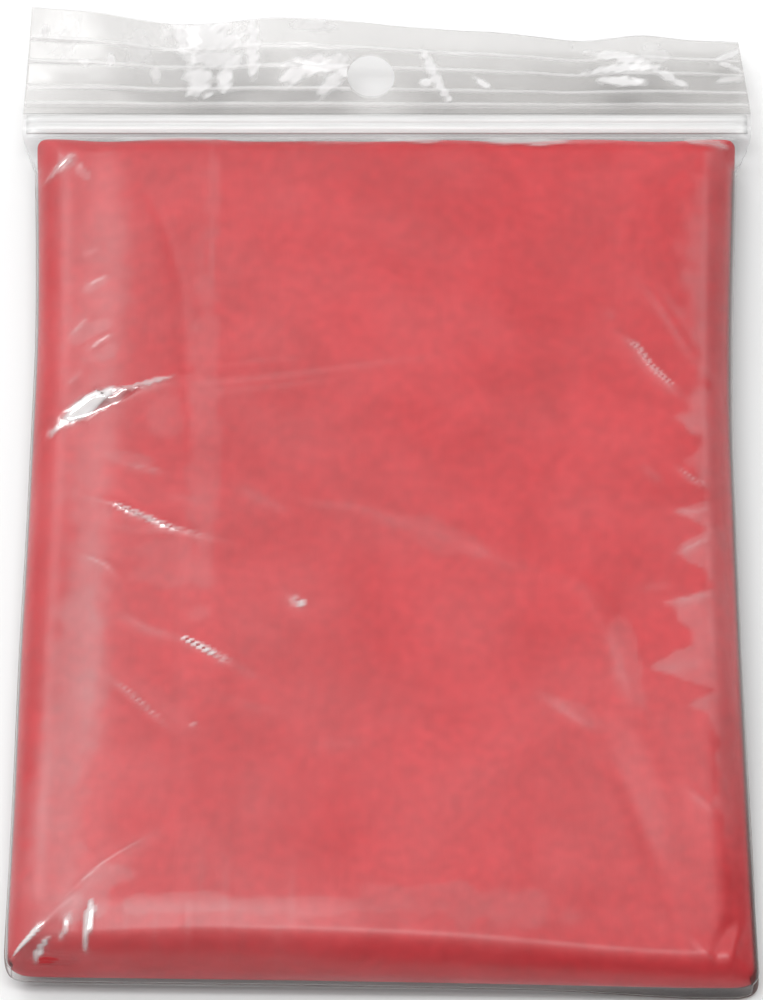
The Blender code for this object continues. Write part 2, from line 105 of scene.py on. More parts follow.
# Side lines of the packet in its bag, in mm: y, left x, right x
SIDE_LINES = (
    (-84.5, -58.0, 56.5),
    (-54.0, -57.4, 55.6),
    (-29.0, -57.1, 55.1),
    (-8.0, -56.6, 54.9),
    (10.0, -56.3, 54.8),
    (27.0, -56.1, 55.2),
    (45.0, -56.5, 56.0),
    (63.6, -57.2, 57.0),
)

# Height of the header's free edge, in mm: x, z
HEADER_EDGE = (
    (-59.0, 15.4),
    (-47.0, 13.6),
    (-36.0, 10.3),
    (-29.0, 10.4),
    (-18.0, 12.0),
    (-8.0, 11.4),
    (2.0, 9.5),
    (13.0, 8.2),
    (23.0, 6.6),
    (32.0, 4.9),
    (41.0, 6.7),
    (50.0, 5.4),
    (59.0, 4.5),
)

# Steps where a ply underneath ends, in mm: x at the head, middle and lower end, rise, half width
PLY_STEPS = (
    (-44.5, -44.5, -45.5, 1.00, 3.2),
    (-29.8, -31.4, -30.4, 0.07, 0.7),
    (-26.4, -25.8, -22.0, -0.08, 0.9),
    (21.5, 22.5, 21.0, -0.06, 0.9),
    (52.0, 51.5, 52.0, -0.35, 1.2),
)

# Soft folds of the cloth and the film together, in mm: points of the fold, rise, half width
CLOTH_FOLDS = (
    (((-40.8, 51.8), (-38.0, 48.1), (-35.4, 41.6), (-33.0, 33.0), (-32.0, 12.3), (-31.3, 3.4)), -0.22, 1.4),
    (((-56.0, -81.5), (-53.0, -78.5), (-46.0, -71.5), (-31.0, -60.5)), 0.28, 1.8),
    (((-53.5, -84.0), (-50.5, -80.0), (-47.5, -77.0)), -0.25, 1.4),
    (((33.1, -46.1), (35.2, -51.2), (37.6, -57.6), (39.8, -63.8), (42.5, -72.0)), -0.20, 2.2),
    (((32.0, -38.0), (38.6, -47.0), (41.5, -53.7), (43.0, -62.1)), 0.12, 2.6),
    (((52.5, 58.5), (48.7, 55.5), (43.8, 50.9), (41.3, 46.2), (38.0, 40.5)), -0.40, 1.3),
    (((39.4, 48.8), (36.0, 43.4), (33.5, 38.0)), -0.25, 1.2),
    (((45.2, 52.8), (42.2, 48.1), (39.5, 43.0), (35.5, 36.0)), 0.30, 1.4),
    (((36.3, 24.1), (41.5, 18.1), (47.5, 11.0)), 0.30, 1.8),
    (((-52.0, 7.5), (-43.0, 13.0), (-30.0, 16.0), (-12.0, 18.0)), 0.35, 2.2),
    (((24.5, -18.6), (31.0, -21.0), (35.0, -30.0), (38.6, -45.3)), 0.30, 1.8),
    (((-47.5, -4.8), (-38.5, -8.8), (-28.3, -12.4)), 0.20, 1.6),
    (((-45.0, -35.0), (-37.0, -41.5), (-30.0, -48.0)), -0.25, 1.8),
    (((51.8, -83.5), (52.0, -79.8), (52.9, -77.2), (55.2, -73.8)), 0.60, 0.8),
    (((49.2, -83.5), (49.8, -79.8), (51.2, -76.6), (53.6, -73.0)), -0.45, 1.1),
)

# Creases of the bag's front film alone, in mm: points of the crease, rise, half width
FILM_CREASES = (
    (((-52.4, 6.6), (-50.0, 9.4), (-47.2, 11.8), (-43.6, 13.2), (-40.5, 13.9)), 0.62, 1.45),
    (((-49.6, 8.2), (-44.4, 11.4), (-40.5, 13.6), (-35.0, 15.2), (-29.5, 16.3)), 0.26, 0.60),
    (((-31.1, 16.7), (-24.8, 18.1), (-20.1, 19.0), (-12.0, 19.8)), 0.11, 0.60),
    (((-33.5, 14.4), (-20.0, 15.9), (-9.0, 17.4), (2.1, 19.2), (10.0, 19.8)), 0.12, 0.60),
    (((-29.4, 13.1), (-16.9, 14.5), (-5.4, 16.0)), 0.10, 0.60),
    (((-41.8, 0.6), (-38.6, -0.2), (-33.6, -1.2)), 0.22, 0.70),
    (((-34.6, -5.0), (-31.0, -5.8), (-28.0, -6.6)), 0.10, 0.60),
    (((-48.5, -4.4), (-43.2, -6.5), (-38.5, -8.8), (-33.5, -10.9), (-28.3, -12.4), (-23.0, -13.8)),
     0.30, 0.50),
    (((-44.7, -10.2), (-38.4, -11.1), (-32.5, -11.0)), 0.12, 0.60),
    (((-48.6, -14.6), (-45.7, -16.0), (-43.7, -17.1), (-40.6, -20.4)), 0.22, 0.70),
    (((-42.2, -25.1), (-36.6, -28.5), (-30.4, -30.4)), 0.20, 0.80),
    (((-31.4, -29.8), (-28.5, -31.6), (-26.3, -33.0), (-22.6, -34.8)), 0.44, 0.50),
    (((-23.4, -34.4), (-19.2, -37.1)), 0.12, 0.70),
    (((-15.4, -22.2), (-13.9, -23.6), (-12.9, -25.2)), 0.42, 0.60),
    (((-44.2, -35.3), (-39.4, -39.3), (-34.7, -43.9), (-31.6, -46.8)), 0.26, 0.50),
    (((-29.8, -44.4), (-29.2, -45.2)), 0.28, 0.45),
    (((-23.8, -3.2), (-19.0, -6.0), (-14.0, -8.5)), 0.15, 0.90),
    (((-15.2, -4.6), (-11.2, -6.4), (-5.0, -6.9), (1.2, -9.4)), 0.12, 0.70),
    (((0.8, -8.7), (6.7, -11.3), (12.9, -13.9), (18.3, -16.9), (24.5, -18.6)), 0.08, 0.80),
    (((24.5, -18.6), (29.1, -19.5), (32.9, -23.0), (35.2, -28.6)), 0.08, 0.80),
    (((34.6, -27.0), (35.8, -32.0), (36.4, -36.0), (37.4, -41.0)), 0.12, 0.70),
    (((21.9, -38.2), (26.5, -41.1), (32.1, -45.3)), 0.15, 0.70),
    (((45.5, -53.7), (47.5, -55.8), (50.8, -58.6)), 0.10, 0.50),
    (((36.0, 24.4), (39.5, 21.6), (41.5, 18.1), (43.8, 15.6), (47.0, 12.0)), 0.42, 0.50),
    (((34.6, 28.6), (36.4, 26.4)), 0.10, 0.80),
    (((39.6, 34.2), (42.6, 29.6), (45.6, 24.1), (49.6, 16.4)), 0.20, 0.60),
    (((42.6, 33.6), (46.6, 27.0), (51.0, 19.0)), 0.16, 0.60),
    (((39.6, 0.7), (41.9, -1.6), (43.6, -3.0)), 0.14, 0.80),
    (((44.3, 0.9), (47.3, -1.9), (51.4, -4.6)), 0.26, 0.60),
    (((44.0, -7.6), (47.4, -8.2), (51.6, -7.0)), 0.22, 0.80),
    (((44.2, -15.8), (47.6, -14.0), (51.0, -11.8)), 0.24, 0.80),
    (((43.0, -23.6), (47.0, -23.0), (51.4, -22.4)), 0.22, 0.90),
    (((40.4, -35.4), (45.0, -34.4), (50.6, -33.0)), 0.10, 0.90),
    (((39.0, -21.4), (42.6, -20.6), (44.6, -21.0)), 0.12, 0.80),
    (((-27.2, -38.5), (-21.8, -41.1), (-14.9, -42.8)), 0.08, 0.90),
    (((-13.3, -47.8), (-6.4, -47.8), (1.2, -47.2)), 0.06, 0.90),
    (((-48.0, 32.3), (-46.0, 34.0), (-43.4, 34.9)), 0.24, 0.80),
    (((-50.4, 23.4), (-48.0, 26.5), (-46.4, 28.0)), 0.24, 0.80),
    (((-47.8, 20.4), (-45.4, 22.8), (-42.2, 24.5)), 0.26, 0.80),
    (((-48.6, 38.4), (-46.3, 39.7), (-44.9, 40.5)), 0.18, 0.70),
    (((-50.6, 14.6), (-47.4, 18.2)), 0.20, 0.80),
    (((-56.6, 52.0), (-52.6, 55.2), (-49.0, 58.4)), 0.30, 0.60),
    (((-54.0, 53.6), (-51.6, 55.9), (-50.4, 58.8)), 0.26, 0.55),
    (((-49.8, 56.2), (-48.4, 54.2)), 0.24, 0.60),
    (((-53.0, 59.6), (-52.3, 56.5), (-54.2, 53.2)), 0.22, 0.55),
    (((-56.4, -82.2), (-54.6, -79.9), (-53.0, -78.2), (-50.6, -76.4)), 0.50, 0.60),
    (((-50.6, -76.4), (-45.5, -70.4), (-42.6, -67.8), (-31.4, -60.9)), 0.22, 0.70),
    (((-53.2, -83.2), (-51.8, -80.9), (-50.2, -79.0)), 0.50, 0.50),
    (((-49.4, -81.2), (-48.5, -78.4), (-48.0, -75.6)), 0.34, 0.50),
    (((-45.6, -82.2), (-44.9, -77.4), (-44.2, -73.2)), 0.46, 0.50),
    (((-46.8, -63.8), (-44.7, -66.6)), 0.16, 0.60),
    (((-39.8, -82.0), (-39.4, -78.0), (-39.0, -72.6)), 0.10, 0.60),
    (((-35.2, -83.0), (-34.8, -78.0), (-34.6, -72.6)), 0.09, 0.60),
    (((-30.2, -83.6), (-29.9, -78.0), (-30.1, -71.0)), 0.15, 0.50),
    (((-27.6, -83.6), (-27.6, -78.0), (-28.1, -66.0)), 0.10, 0.50),
    (((-24.2, -84.0), (-24.3, -78.0), (-24.5, -66.0)), 0.10, 0.50),
    (((-22.0, -83.0), (-21.9, -78.0), (-22.0, -69.4)), 0.12, 0.50),
    (((-16.8, -84.0), (-16.4, -80.0), (-16.2, -76.0)), 0.08, 0.50),
    (((-14.8, -82.0), (-14.4, -77.0), (-14.2, -66.0)), 0.09, 0.50),
    (((3.2, -80.0), (3.4, -76.0), (3.0, -71.0)), 0.04, 0.60),
    (((8.6, -80.0), (8.8, -76.0), (8.4, -71.0)), 0.04, 0.60),
    (((36.4, -82.0), (36.8, -78.0), (36.0, -73.0)), 0.05, 0.60),
    (((45.2, -77.4), (47.8, -80.0), (50.8, -83.8)), 0.20, 0.50),
    (((41.6, -79.0), (42.0, -76.0), (41.4, -72.0)), 0.05, 0.60),
)

# Flat facets of the film that face up from the camera's side, in mm: x, y, half width, half length, turn in
# degrees, rise per mm of Y
FACETS = (
    (-47.8, 10.6, 5.6, 1.30, 36.0, 0.29),
    (-43.2, 11.6, 4.6, 0.55, 34.0, 0.28),
    (-28.6, -31.6, 2.6, 0.45, -32.0, 0.30),
    (-39.4, -8.2, 3.4, 0.40, -26.0, 0.26),
    (-13.5, -24.0, 0.7, 0.60, 0.0, 0.30),
    (-34.0, -10.7, 2.0, 0.35, -14.0, 0.30),
)

# Dark lines where the film clings along a fold, in mm: points, share of the haze that goes, half width
CLINGING = (
    (((-31.9, 32.0), (-32.0, 12.3), (-31.3, 3.4), (-30.8, -9.0)), 1.0, 0.7),
    (((-40.8, 51.8), (-38.0, 48.1), (-35.4, 41.6), (-32.6, 30.5)), 0.8, 0.9),
    (((52.5, 58.5), (48.7, 55.5), (43.8, 50.9), (40.0, 44.0)), 1.0, 1.0),
    (((33.1, -46.1), (37.6, -57.6), (42.5, -72.0)), 1.0, 1.8),
    (((28.0, -12.0), (36.0, -15.0), (43.0, -16.0)), 0.7, 4.0),
    (((38.6, -26.0), (42.0, -30.0), (43.5, -33.5)), 0.7, 2.0),
)

# Band along the left side where the film stands off the cloth, with a painted reflection of the left light on
# the side's turn, in mm: y, left x, right x, share of the haze
LEFT_SLACK_AND_REFLECTION_BAND = (
    (60.0, -50.0, -44.0, 0.00),
    (52.0, -53.0, -42.0, 0.30),
    (40.0, -52.0, -41.0, 0.45),
    (25.0, -51.0, -41.0, 0.45),
    (8.0, -50.0, -42.5, 0.40),
    (-5.0, -49.5, -44.0, 0.55),
    (-14.8, -48.8, -44.2, 0.90),
    (-23.7, -50.2, -44.1, 1.00),
    (-36.8, -51.5, -43.6, 1.00),
    (-47.0, -52.5, -44.5, 0.95),
    (-55.0, -53.5, -46.6, 0.90),
    (-62.1, -54.4, -46.9, 0.85),
    (-70.0, -55.4, -46.4, 0.60),
    (-78.0, -56.0, -47.0, 0.25),
)

# The same along the right side, toothed by the film's creases: slack film, with a painted reflection along
# the rounded edge, in mm: y, left x, share of the haze, soft edge
RIGHT_SLACK_AND_REFLECTION_BAND = (
    (61.0, 53.6, 0.50, 1.0),
    (58.7, 52.4, 0.80, 1.2),
    (49.0, 49.2, 0.70, 4.5),
    (42.0, 47.8, 0.75, 4.5),
    (30.5, 47.6, 0.80, 4.0),
    (23.9, 49.1, 0.80, 3.0),
    (15.0, 49.6, 0.85, 2.0),
    (12.3, 47.9, 0.90, 1.6),
    (8.6, 45.9, 0.90, 1.6),
    (5.9, 48.6, 0.90, 1.2),
    (3.2, 49.3, 0.90, 1.2),
    (1.3, 47.3, 0.90, 1.2),
    (-1.1, 48.0, 0.90, 1.2),
    (-3.2, 49.2, 0.90, 1.0),
    (-6.0, 49.9, 0.90, 1.0),
    (-7.8, 44.4, 0.90, 1.0),
    (-9.2, 47.3, 0.90, 0.8),
    (-10.9, 49.0, 1.00, 0.8),
    (-15.5, 44.7, 1.00, 0.8),
    (-16.7, 45.7, 1.00, 0.8),
    (-18.1, 49.6, 1.00, 0.8),
    (-21.3, 50.1, 1.00, 0.8),
    (-22.6, 47.5, 1.00, 0.8),
    (-23.5, 43.4, 1.00, 0.8),
    (-28.4, 46.1, 1.00, 0.8),
    (-31.1, 47.7, 1.00, 0.8),
    (-32.0, 44.5, 1.00, 1.0),
    (-35.1, 40.8, 0.90, 1.4),
    (-37.4, 46.0, 0.80, 0.8),
    (-38.4, 50.0, 0.80, 0.8),
    (-41.2, 47.0, 0.70, 1.0),
    (-44.0, 50.1, 0.80, 0.8),
    (-55.4, 50.6, 0.90, 0.8),
    (-62.8, 51.2, 0.90, 0.8),
    (-74.0, 51.8, 0.80, 0.8),
    (-80.0, 52.6, 0.30, 1.0),
)

# Crease where the right band ends and the side turns down, in mm: y, x
RIGHT_LINE = (
    (60.0, 54.6),
    (39.7, 53.9),
    (12.3, 53.2),
    (-1.9, 53.0),
    (-16.0, 52.8),
    (-26.0, 53.0),
    (-38.5, 53.8),
    (-62.0, 54.4),
    (-80.0, 55.0),
)

# Pale patches of slack film, and painted glints and highlights: the large shares at the left glints and the
# lower left streaks, and the rows along the lower edge's highlight band, laid on as white haze: x, y, half
# width, half length, turn in degrees, share of the haze
SLACK_AND_GLINT_PATCHES = (
    (-36.0, 60.9, 9.5, 0.7, 0.0, 2.6),
    (-18.0, 60.6, 8.0, 0.7, 0.0, 3.0),
    (-6.5, 59.9, 6.0, 0.9, 3.0, 0.7),
    (4.6, 60.4, 4.6, 0.9, 0.0, 3.0),
    (22.0, 60.0, 7.0, 1.0, 0.0, 3.4),
    (33.0, 60.0, 5.0, 0.6, 4.0, 0.7),
    (51.8, 60.0, 3.2, 0.9, -6.0, 3.0),
    (-51.5, 56.0, 1.8, 1.0, 40.0, 0.9),
    (-48.5, 53.6, 1.6, 0.8, -40.0, 0.8),
    (-46.0, 33.4, 2.6, 1.2, 30.0, 0.5),
    (-47.5, 24.5, 3.2, 1.6, 35.0, 0.6),
    (-45.0, 20.5, 3.2, 1.2, 25.0, 0.5),
    (-41.0, 1.5, 4.0, 1.2, -12.0, 0.5),
    (-35.0, 8.5, 3.0, 4.0, 0.0, 0.35),
    (-28.5, 8.0, 2.2, 30.0, 0.0, 0.35),
    (-27.8, 45.0, 1.0, 18.0, 0.0, 0.35),
    (-34.0, -17.0, 5.0, 5.0, 0.0, 0.35),
    (-44.0, -73.0, 5.0, 3.0, 40.0, 0.7),
    (-32.0, -74.5, 9.0, 1.6, 0.0, 0.7),
    (-12.0, -74.8, 14.0, 1.5, 0.0, 0.35),
    (12.0, -74.0, 16.0, 3.0, -3.0, 0.35),
    (36.5, -33.0, 2.2, 8.0, 10.0, 0.5),
    (28.5, -42.0, 4.5, 1.4, -36.0, 0.35),
    (8.0, -12.0, 8.0, 2.6, -24.0, 0.30),
    (-47.6, 10.7, 5.2, 1.10, 36.0, 15.0),
    (-38.5, 14.6, 5.0, 0.50, 16.0, 4.0),
    (-37.0, -9.3, 6.0, 0.25, -26.0, 3.0),
    (-28.8, -31.6, 2.4, 0.30, -32.0, 8.0),
    (-13.5, -24.0, 0.6, 0.50, 0.0, 5.0),
    (-44.9, -77.3, 0.50, 3.6, -8.0, 7.0),
    (-48.6, -78.4, 0.50, 2.0, -18.0, 2.6),
    (-51.8, -80.9, 0.45, 2.2, -36.0, 8.0),
    (-54.0, -79.3, 2.9, 0.40, 42.0, 9.0),
)

# Painted glare on the header's crumpled film, laid on as white haze: x, y, half width, half length, turn in
# degrees, share
GLARES = (
    (-29.5, 82.0, 5.6, 2.6, -8.0, 1.0),
    (-28.5, 78.2, 4.2, 1.6, -10.0, 0.8),
    (-30.6, 74.0, 1.9, 2.6, 8.0, 1.0),
    (-26.4, 74.2, 1.2, 1.9, 0.0, 0.9),
    (-21.9, 80.2, 1.0, 4.6, 2.0, 1.0),
    (-15.2, 74.8, 2.2, 1.2, 40.0, 0.9),
    (-10.8, 76.6, 4.6, 1.5, 8.0, 0.8),
    (-9.0, 73.6, 3.2, 1.0, 50.0, 0.7),
    (-7.0, 75.4, 1.2, 0.8, 0.0, 1.0),
    (-12.0, 83.5, 3.0, 1.0, 0.0, 0.5),
    (7.4, 76.2, 0.8, 3.6, 20.0, 0.9),
    (6.4, 73.8, 0.9, 0.7, 0.0, 1.0),
    (9.0, 72.6, 0.6, 2.2, 30.0, 0.8),
    (15.4, 74.2, 1.4, 0.5, -38.0, 1.0),
    (38.0, 80.0, 5.0, 0.9, -18.0, 0.9),
    (38.6, 77.6, 5.2, 0.8, 4.0, 0.9),
    (38.4, 74.8, 3.2, 0.9, -6.0, 1.0),
    (46.0, 75.6, 3.0, 0.7, -35.0, 0.7),
    (44.0, 80.5, 2.0, 2.0, 0.0, 0.4),
    (55.8, 81.0, 2.8, 0.6, 35.0, 0.9),
    (56.4, 78.4, 2.2, 0.5, -30.0, 0.8),
    (56.0, 75.4, 2.0, 0.6, 10.0, 0.6),
    (-49.3, 76.4, 0.7, 0.6, 0.0, 1.0),
    (-45.0, 77.0, 0.6, 0.9, 0.0, 1.0),
    (-37.6, 75.0, 0.7, 1.3, 0.0, 0.5),
    (-55.6, 81.0, 0.5, 1.2, 0.0, 0.7),
    (-52.0, 80.0, 1.6, 3.4, -20.0, 0.25),
    (-40.5, 80.0, 2.0, 4.0, 0.0, 0.25),
)

# Grip ribs of the header: distance above the zip, in mm
RIB_OFFSETS = (2.0, 4.9, 8.9, 12.3)

# The zip's section, in mm: distance from its lower edge, height
ZIP_PROFILE = (
    (0.0, 0.06),
    (0.25, 0.10),
    (0.55, 0.42),
    (0.95, 0.50),
    (1.30, 0.34),
    (1.62, 0.12),
    (1.90, 0.46),
    (2.35, 0.60),
    (2.80, 0.46),
    (3.10, 0.12),
    (3.40, 0.06),
)


def length(name, description, millimetres):
    """A size in the panel, kept in metres."""
    return FloatProperty(name=name, description=description, default=millimetres * MM, unit="LENGTH",
                         precision=5, min=-1.0, max=1.0)


def colour(name, description, red, green, blue):
    """A colour in the panel, linear."""
    return FloatVectorProperty(name=name, description=description, default=(red, green, blue),
                               subtype="COLOR", size=3, min=0.0, max=1.0)


class PONCHO_PG_packet(bpy.types.PropertyGroup):
    """Sizes of the folded packet."""

    low_end_y: length("Lower end", "Y of the bag's outside at the packet's lower end", CAD_BOX[0][1] / MM)
    head_end_y: length("Head end", "Y of the bag's outside at the packet's head end", 63.6)
    height: length("Height", "Height of the packet in its bag", 13.2)
    side_run: length("Side turn", "How far in the plan each side takes to turn down", 6.5)
    low_run: length("Lower turn", "How far in the plan the lower end takes to turn down", 4.5)
    head_run: length("Head turn", "How far in the plan the head end takes to turn down", 6.5)
    lean: length("Lean", "How far the top stands back at the lower end", 1.2)
    lean_from_z: length("Lean, from", "Height where the lean starts", 3.0)
    lean_start_y: length("Lean, start", "Y where the lean comes in", -60.0)
    lean_stretch: length("Lean, stretch", "Stretch over which the lean comes in", 15.0)
    bevel: length("Bevel", "How far the top falls just before its lower edge", 1.1)
    bevel_start_y: length("Bevel, start", "Y where the top starts to fall to its lower edge", -73.0)
    bevel_stretch: length("Bevel, stretch", "Stretch of Y over which it falls", 7.5)
    inset: length("Inset", "How far the lower end's line stands in at the middle", 0.65)
    sag: length("Sag", "How far the top sags at its lower right corner", 5.0)
    sag_start_x: length("Sag, from, across", "X where the sag starts", -20.0)
    sag_stretch_x: length("Sag, stretch, across", "Stretch of X over which the sag grows", 86.0)
    sag_start_y: length("Sag, from, along", "Y where the sag starts", -30.0)
    sag_stretch_y: length("Sag, stretch, along", "Stretch of Y over which the sag grows", 50.0)
    cloth_depth: length("Cloth depth", "How far the outermost ply lies under the bag's outside", 0.38)
    cloth_thickness: length("Cloth thickness", "Thickness of the outermost ply, with the air under it", 0.4)
    layer_pitch: length("Layer pitch", "Height of one stack of plies at the packet's sides", 0.62)
    layer_groove: length("Layer groove", "Depth of the grooves between the plies at the sides", 0.55)


class PONCHO_PG_bag(bpy.types.PropertyGroup):
    """Sizes of the clear bag."""

    film: length("Film", "Thickness of the bag's film", 0.06)
    film_depth: length("Film depth", "How far the front film lies under the bag's outside", 0.1)
    half_width: length("Half width", "Half the bag's width at the zip", CAD_BOX[1][0] / MM)
    top_half_width: length("Half width at the top", "Half the bag's width at its free edge", 57.8)
    zip_low_y: length("Zip, lower edge", "Y of the zip's lower edge", 64.2)
    zip_high_y: length("Zip, upper edge", "Y of the zip's upper edge", 67.6)
    top_y: length("Header, free edge", "Y of the header's free edge", CAD_BOX[1][1] / MM)
    zip_z: length("Zip height", "Z of the middle of the closed zip", 8.6)
    rib_height: length("Rib height", "How far a grip rib stands proud", 0.09)
    rib_width: length("Rib width", "Width of a grip rib", 0.55)
    hole_x: length("Hole, across", "X of the hang hole's middle", -2.6)
    hole_y: length("Hole, along", "Y of the hang hole's middle", 74.8)
    hole_radius: length("Hole radius", "Radius of the hang hole", 3.85)
    seam_tucked_z: length("Seam, tucked in", "Height of the seam at the left of the lower end", 3.8)
    seam_low_z: length("Seam, flap", "Height of the seam at the right of the lower end", 0.5)
    seam_from_x: length("Seam, level until", "X where the seam starts to come down", 20.0)
    seam_fall_x: length("Seam, fall", "X where the seam has come down", 50.0)
    flap_length: length("Flap", "How far the flap runs up the right side", 18.0)


class PONCHO_PG_finish(bpy.types.PropertyGroup):
    """Colours of the cloth, the film and the stage."""

    cloth: colour("Cloth", "Colour of the poncho's film", 0.650, 0.040, 0.050)
    cloth_deep: colour("Cloth, deep", "Colour where the film clings to the cloth", 0.565, 0.026, 0.034)
    folds: colour("Folds", "Colour of the stacked folds at the edges", 0.58, 0.035, 0.045)
    film: colour("Film", "Tint of light through the bag's film", 0.99, 0.99, 0.992)
    header: colour("Header", "Tint of light through the header's thicker film", 0.940, 0.937, 0.934)
    # seal: tint of the welded seams, also the tint of the painted shade on the packet's shaded side and foot
    seal: colour("Seal", "Tint of light through the bag's welded sides", 0.66, 0.60, 0.59)
    # haze: colour of the film's milky haze, and of the painted highlights, reflections and glare laid on with
    # it
    haze: colour("Haze", "Colour of the milky haze in the bag's film", 0.92, 0.91, 0.91)
    zip: colour("Zip", "Colour of the zip", 0.90, 0.90, 0.89)
    floor: colour("Floor", "Colour of the floor", 0.93, 0.93, 0.93)


class PONCHO_PG_stage(bpy.types.PropertyGroup):
    """Camera and lights."""

    distance: length("Distance", "From the camera to the top of the packet", 931.0)
    tilt: FloatProperty(name="Tilt", description="Angle of the view off the vertical",
                        default=math.radians(28.0), subtype="ANGLE")
    lens: FloatProperty(name="Lens", description="Focal length for a 36 mm sensor", default=213.34, min=20.0)
    aim_x: length("Aim, across", "X of the point the camera looks at", -0.87)
    aim_y: length("Aim, along", "Y of the point the camera looks at", -2.4)
    aim_z: length("Aim, height", "Z of the point the camera looks at", 7.3)
    key_watts: FloatProperty(name="Key light", description="Power of the overhead softbox", default=4.2)
    left_watts: FloatProperty(name="Left light", description="Power of the left softbox", default=1.5)
    right_watts: FloatProperty(name="Right light", description="Power of the right softbox", default=0.9)
    room: FloatProperty(name="Room light", description="Brightness of the room overhead", default=1.0)
    room_dark: FloatProperty(name="Room, low", description="Brightness of the room low down", default=0.2)


def in_millimetres(group):
    """The group's lengths, in millimetres, by name."""
    names = [prop.identifier for prop in group.bl_rna.properties if getattr(prop, "unit", "") == "LENGTH"]
    return {name: getattr(group, name) / MM for name in names}


def all_sizes(context):
    """Sizes of the packet and the bag together, in millimetres."""
    sizes = in_millimetres(context.scene.poncho_packet)
    sizes.update(in_millimetres(context.scene.poncho_bag))
    sizes["mid_z"] = sizes["height"] / 2
    return sizes


def ease(share):
    """0 up to 0, 1 from 1, and a cubic with level ends between."""
    share = np.clip(share, 0.0, 1.0)
    return share * share * (3.0 - 2.0 * share)


def smooth_read(table, column, at):
    """Value of a table's column at any place of its first column, on a smooth cubic through the rows."""
    rows = np.array(table)
    places, values = rows[:, 0], rows[:, column]
    slopes = np.gradient(values, places)
    index = np.clip(np.searchsorted(places, at) - 1, 0, len(rows) - 2)
    span = places[index + 1] - places[index]
    share = np.clip((at - places[index]) / span, 0.0, 1.0)
    leave, arrive = slopes[index] * span, slopes[index + 1] * span
    bow = share * (1.0 - share) * (leave * (1.0 - share) - arrive * share)
    return values[index] + (values[index + 1] - values[index]) * ease(share) + bow


def ripple(x, y, wavelength, seed, count=18):
    """Soft irregular waves of about -1 to 1: plane waves of seeded directions, lengths and phases, added."""
    draw = np.random.default_rng(seed)
    angles = draw.uniform(0.0, math.pi, count)
    numbers = 2.0 * math.pi / (wavelength * draw.uniform(0.6, 1.8, count))
    phases = draw.uniform(0.0, 2.0 * math.pi, count)
    total = np.zeros(np.broadcast(x, y).shape)
    for angle, number, phase in zip(angles, numbers, phases):
        total += np.cos(number * (x * math.cos(angle) + y * math.sin(angle)) + phase)
    return total / math.sqrt(count)


def waves(table, x, y):
    """Soft irregular waves, added: rows of rise, squash of Y, wavelength and seed."""
    return sum(rise * ripple(x, y * squash, wavelength, seed) for rise, squash, wavelength, seed in table)


def ridge(gap, half_width):
    """Section of a crease at a gap from its line: 1 / (1 + (gap / half width)^2)^1.5."""
    return 1.0 / (1.0 + (gap / half_width) ** 2) ** 1.5


def crease_field(creases, x, y):
    """Height of creases at x, y.

    Each crease is a chain of points with a ridge along it, which fades out towards both of its ends.
    """
    height = np.zeros(np.broadcast(x, y).shape)
    for points, rise, half_width in creases:
        chain = np.array(points)
        legs = np.diff(chain, axis=0)
        spans = np.hypot(legs[:, 0], legs[:, 1])
        starts = np.concatenate([[0.0], np.cumsum(spans)])
        nearest = np.full(height.shape, np.inf)
        place = np.zeros(height.shape)
        for start, leg, span, before in zip(chain, legs, spans, starts):
            along = np.clip(((x - start[0]) * leg[0] + (y - start[1]) * leg[1]) / span ** 2, 0.0, 1.0)
            gap = np.hypot(x - start[0] - along * leg[0], y - start[1] - along * leg[1])
            closer = gap < nearest
            nearest = np.where(closer, gap, nearest)
            place = np.where(closer, (before + along * span) / starts[-1], place)
        fade = ease(place / 0.35) * ease((1.0 - place) / 0.35) * 0.85 + 0.15
        height += rise * fade * ridge(nearest, half_width)
    return height


def cloth_relief(sizes, x, y):
    """Height of the cloth over its plain form: ply steps, folds, slow waves and the lower edge's fall."""
    height = np.zeros(np.broadcast(x, y).shape)
    for head_x, middle_x, low_x, rise, half_width in PLY_STEPS:
        line = smooth_read(tuple(zip(STEP_PLACES, (low_x, middle_x, head_x))), 1, np.asarray(y))
        line = line + 0.25 * ripple(x * 0.0, y, 30.0, 5)
        height += rise * 0.5 * (1.0 + np.tanh((x - line) / half_width))
    height += crease_field(CLOTH_FOLDS, x, y)
    fade_x, stretch, share = BEVEL_FADE
    fall = ease((sizes["bevel_start_y"] - y) / sizes["bevel_stretch"])
    height -= sizes["bevel"] * fall * (1.0 - share * ease((x - fade_x) / stretch))
    return height + waves(CLOTH_WAVES, x, y)


def patch_field(patches, x, y, wavelength, seed, soft=SOFT_EDGE):
    """Largest share of the patches at x, y.

    Each patch is an ellipse with a soft edge that soft irregular waves fray: its share falls over a
    stretch of soft times its radius.
    """
    frayed = 0.25 * ripple(x, y, wavelength, seed)
    total = np.zeros(np.broadcast(x, y).shape)
    for middle_x, middle_y, half_width, half_length, degrees, share in patches:
        turn = math.radians(degrees)
        over = ((x - middle_x) * math.cos(turn) + (y - middle_y) * math.sin(turn)) / half_width
        along = ((y - middle_y) * math.cos(turn) - (x - middle_x) * math.sin(turn)) / half_length
        total = np.maximum(total, share * ease((1.0 + frayed - np.hypot(over, along)) / soft + 0.5))
    return total


def table_read(table, column, at):
    """Value of a table's column at any place of its first column, on straight lines through the rows."""
    rows = np.array(sorted(table))
    return np.interp(at, rows[:, 0], rows[:, column])


def facet_relief(x, y):
    """Height of the facets: each is a tilted plane inside a soft-edged ellipse."""
    height = np.zeros(np.broadcast(x, y).shape)
    for middle_x, middle_y, half_width, half_length, degrees, slope in FACETS:
        window = patch_field(((middle_x, middle_y, half_width, half_length, degrees, 1.0),), x, y, 3.0, 54)
        height += window * slope * (y - middle_y)
    return height


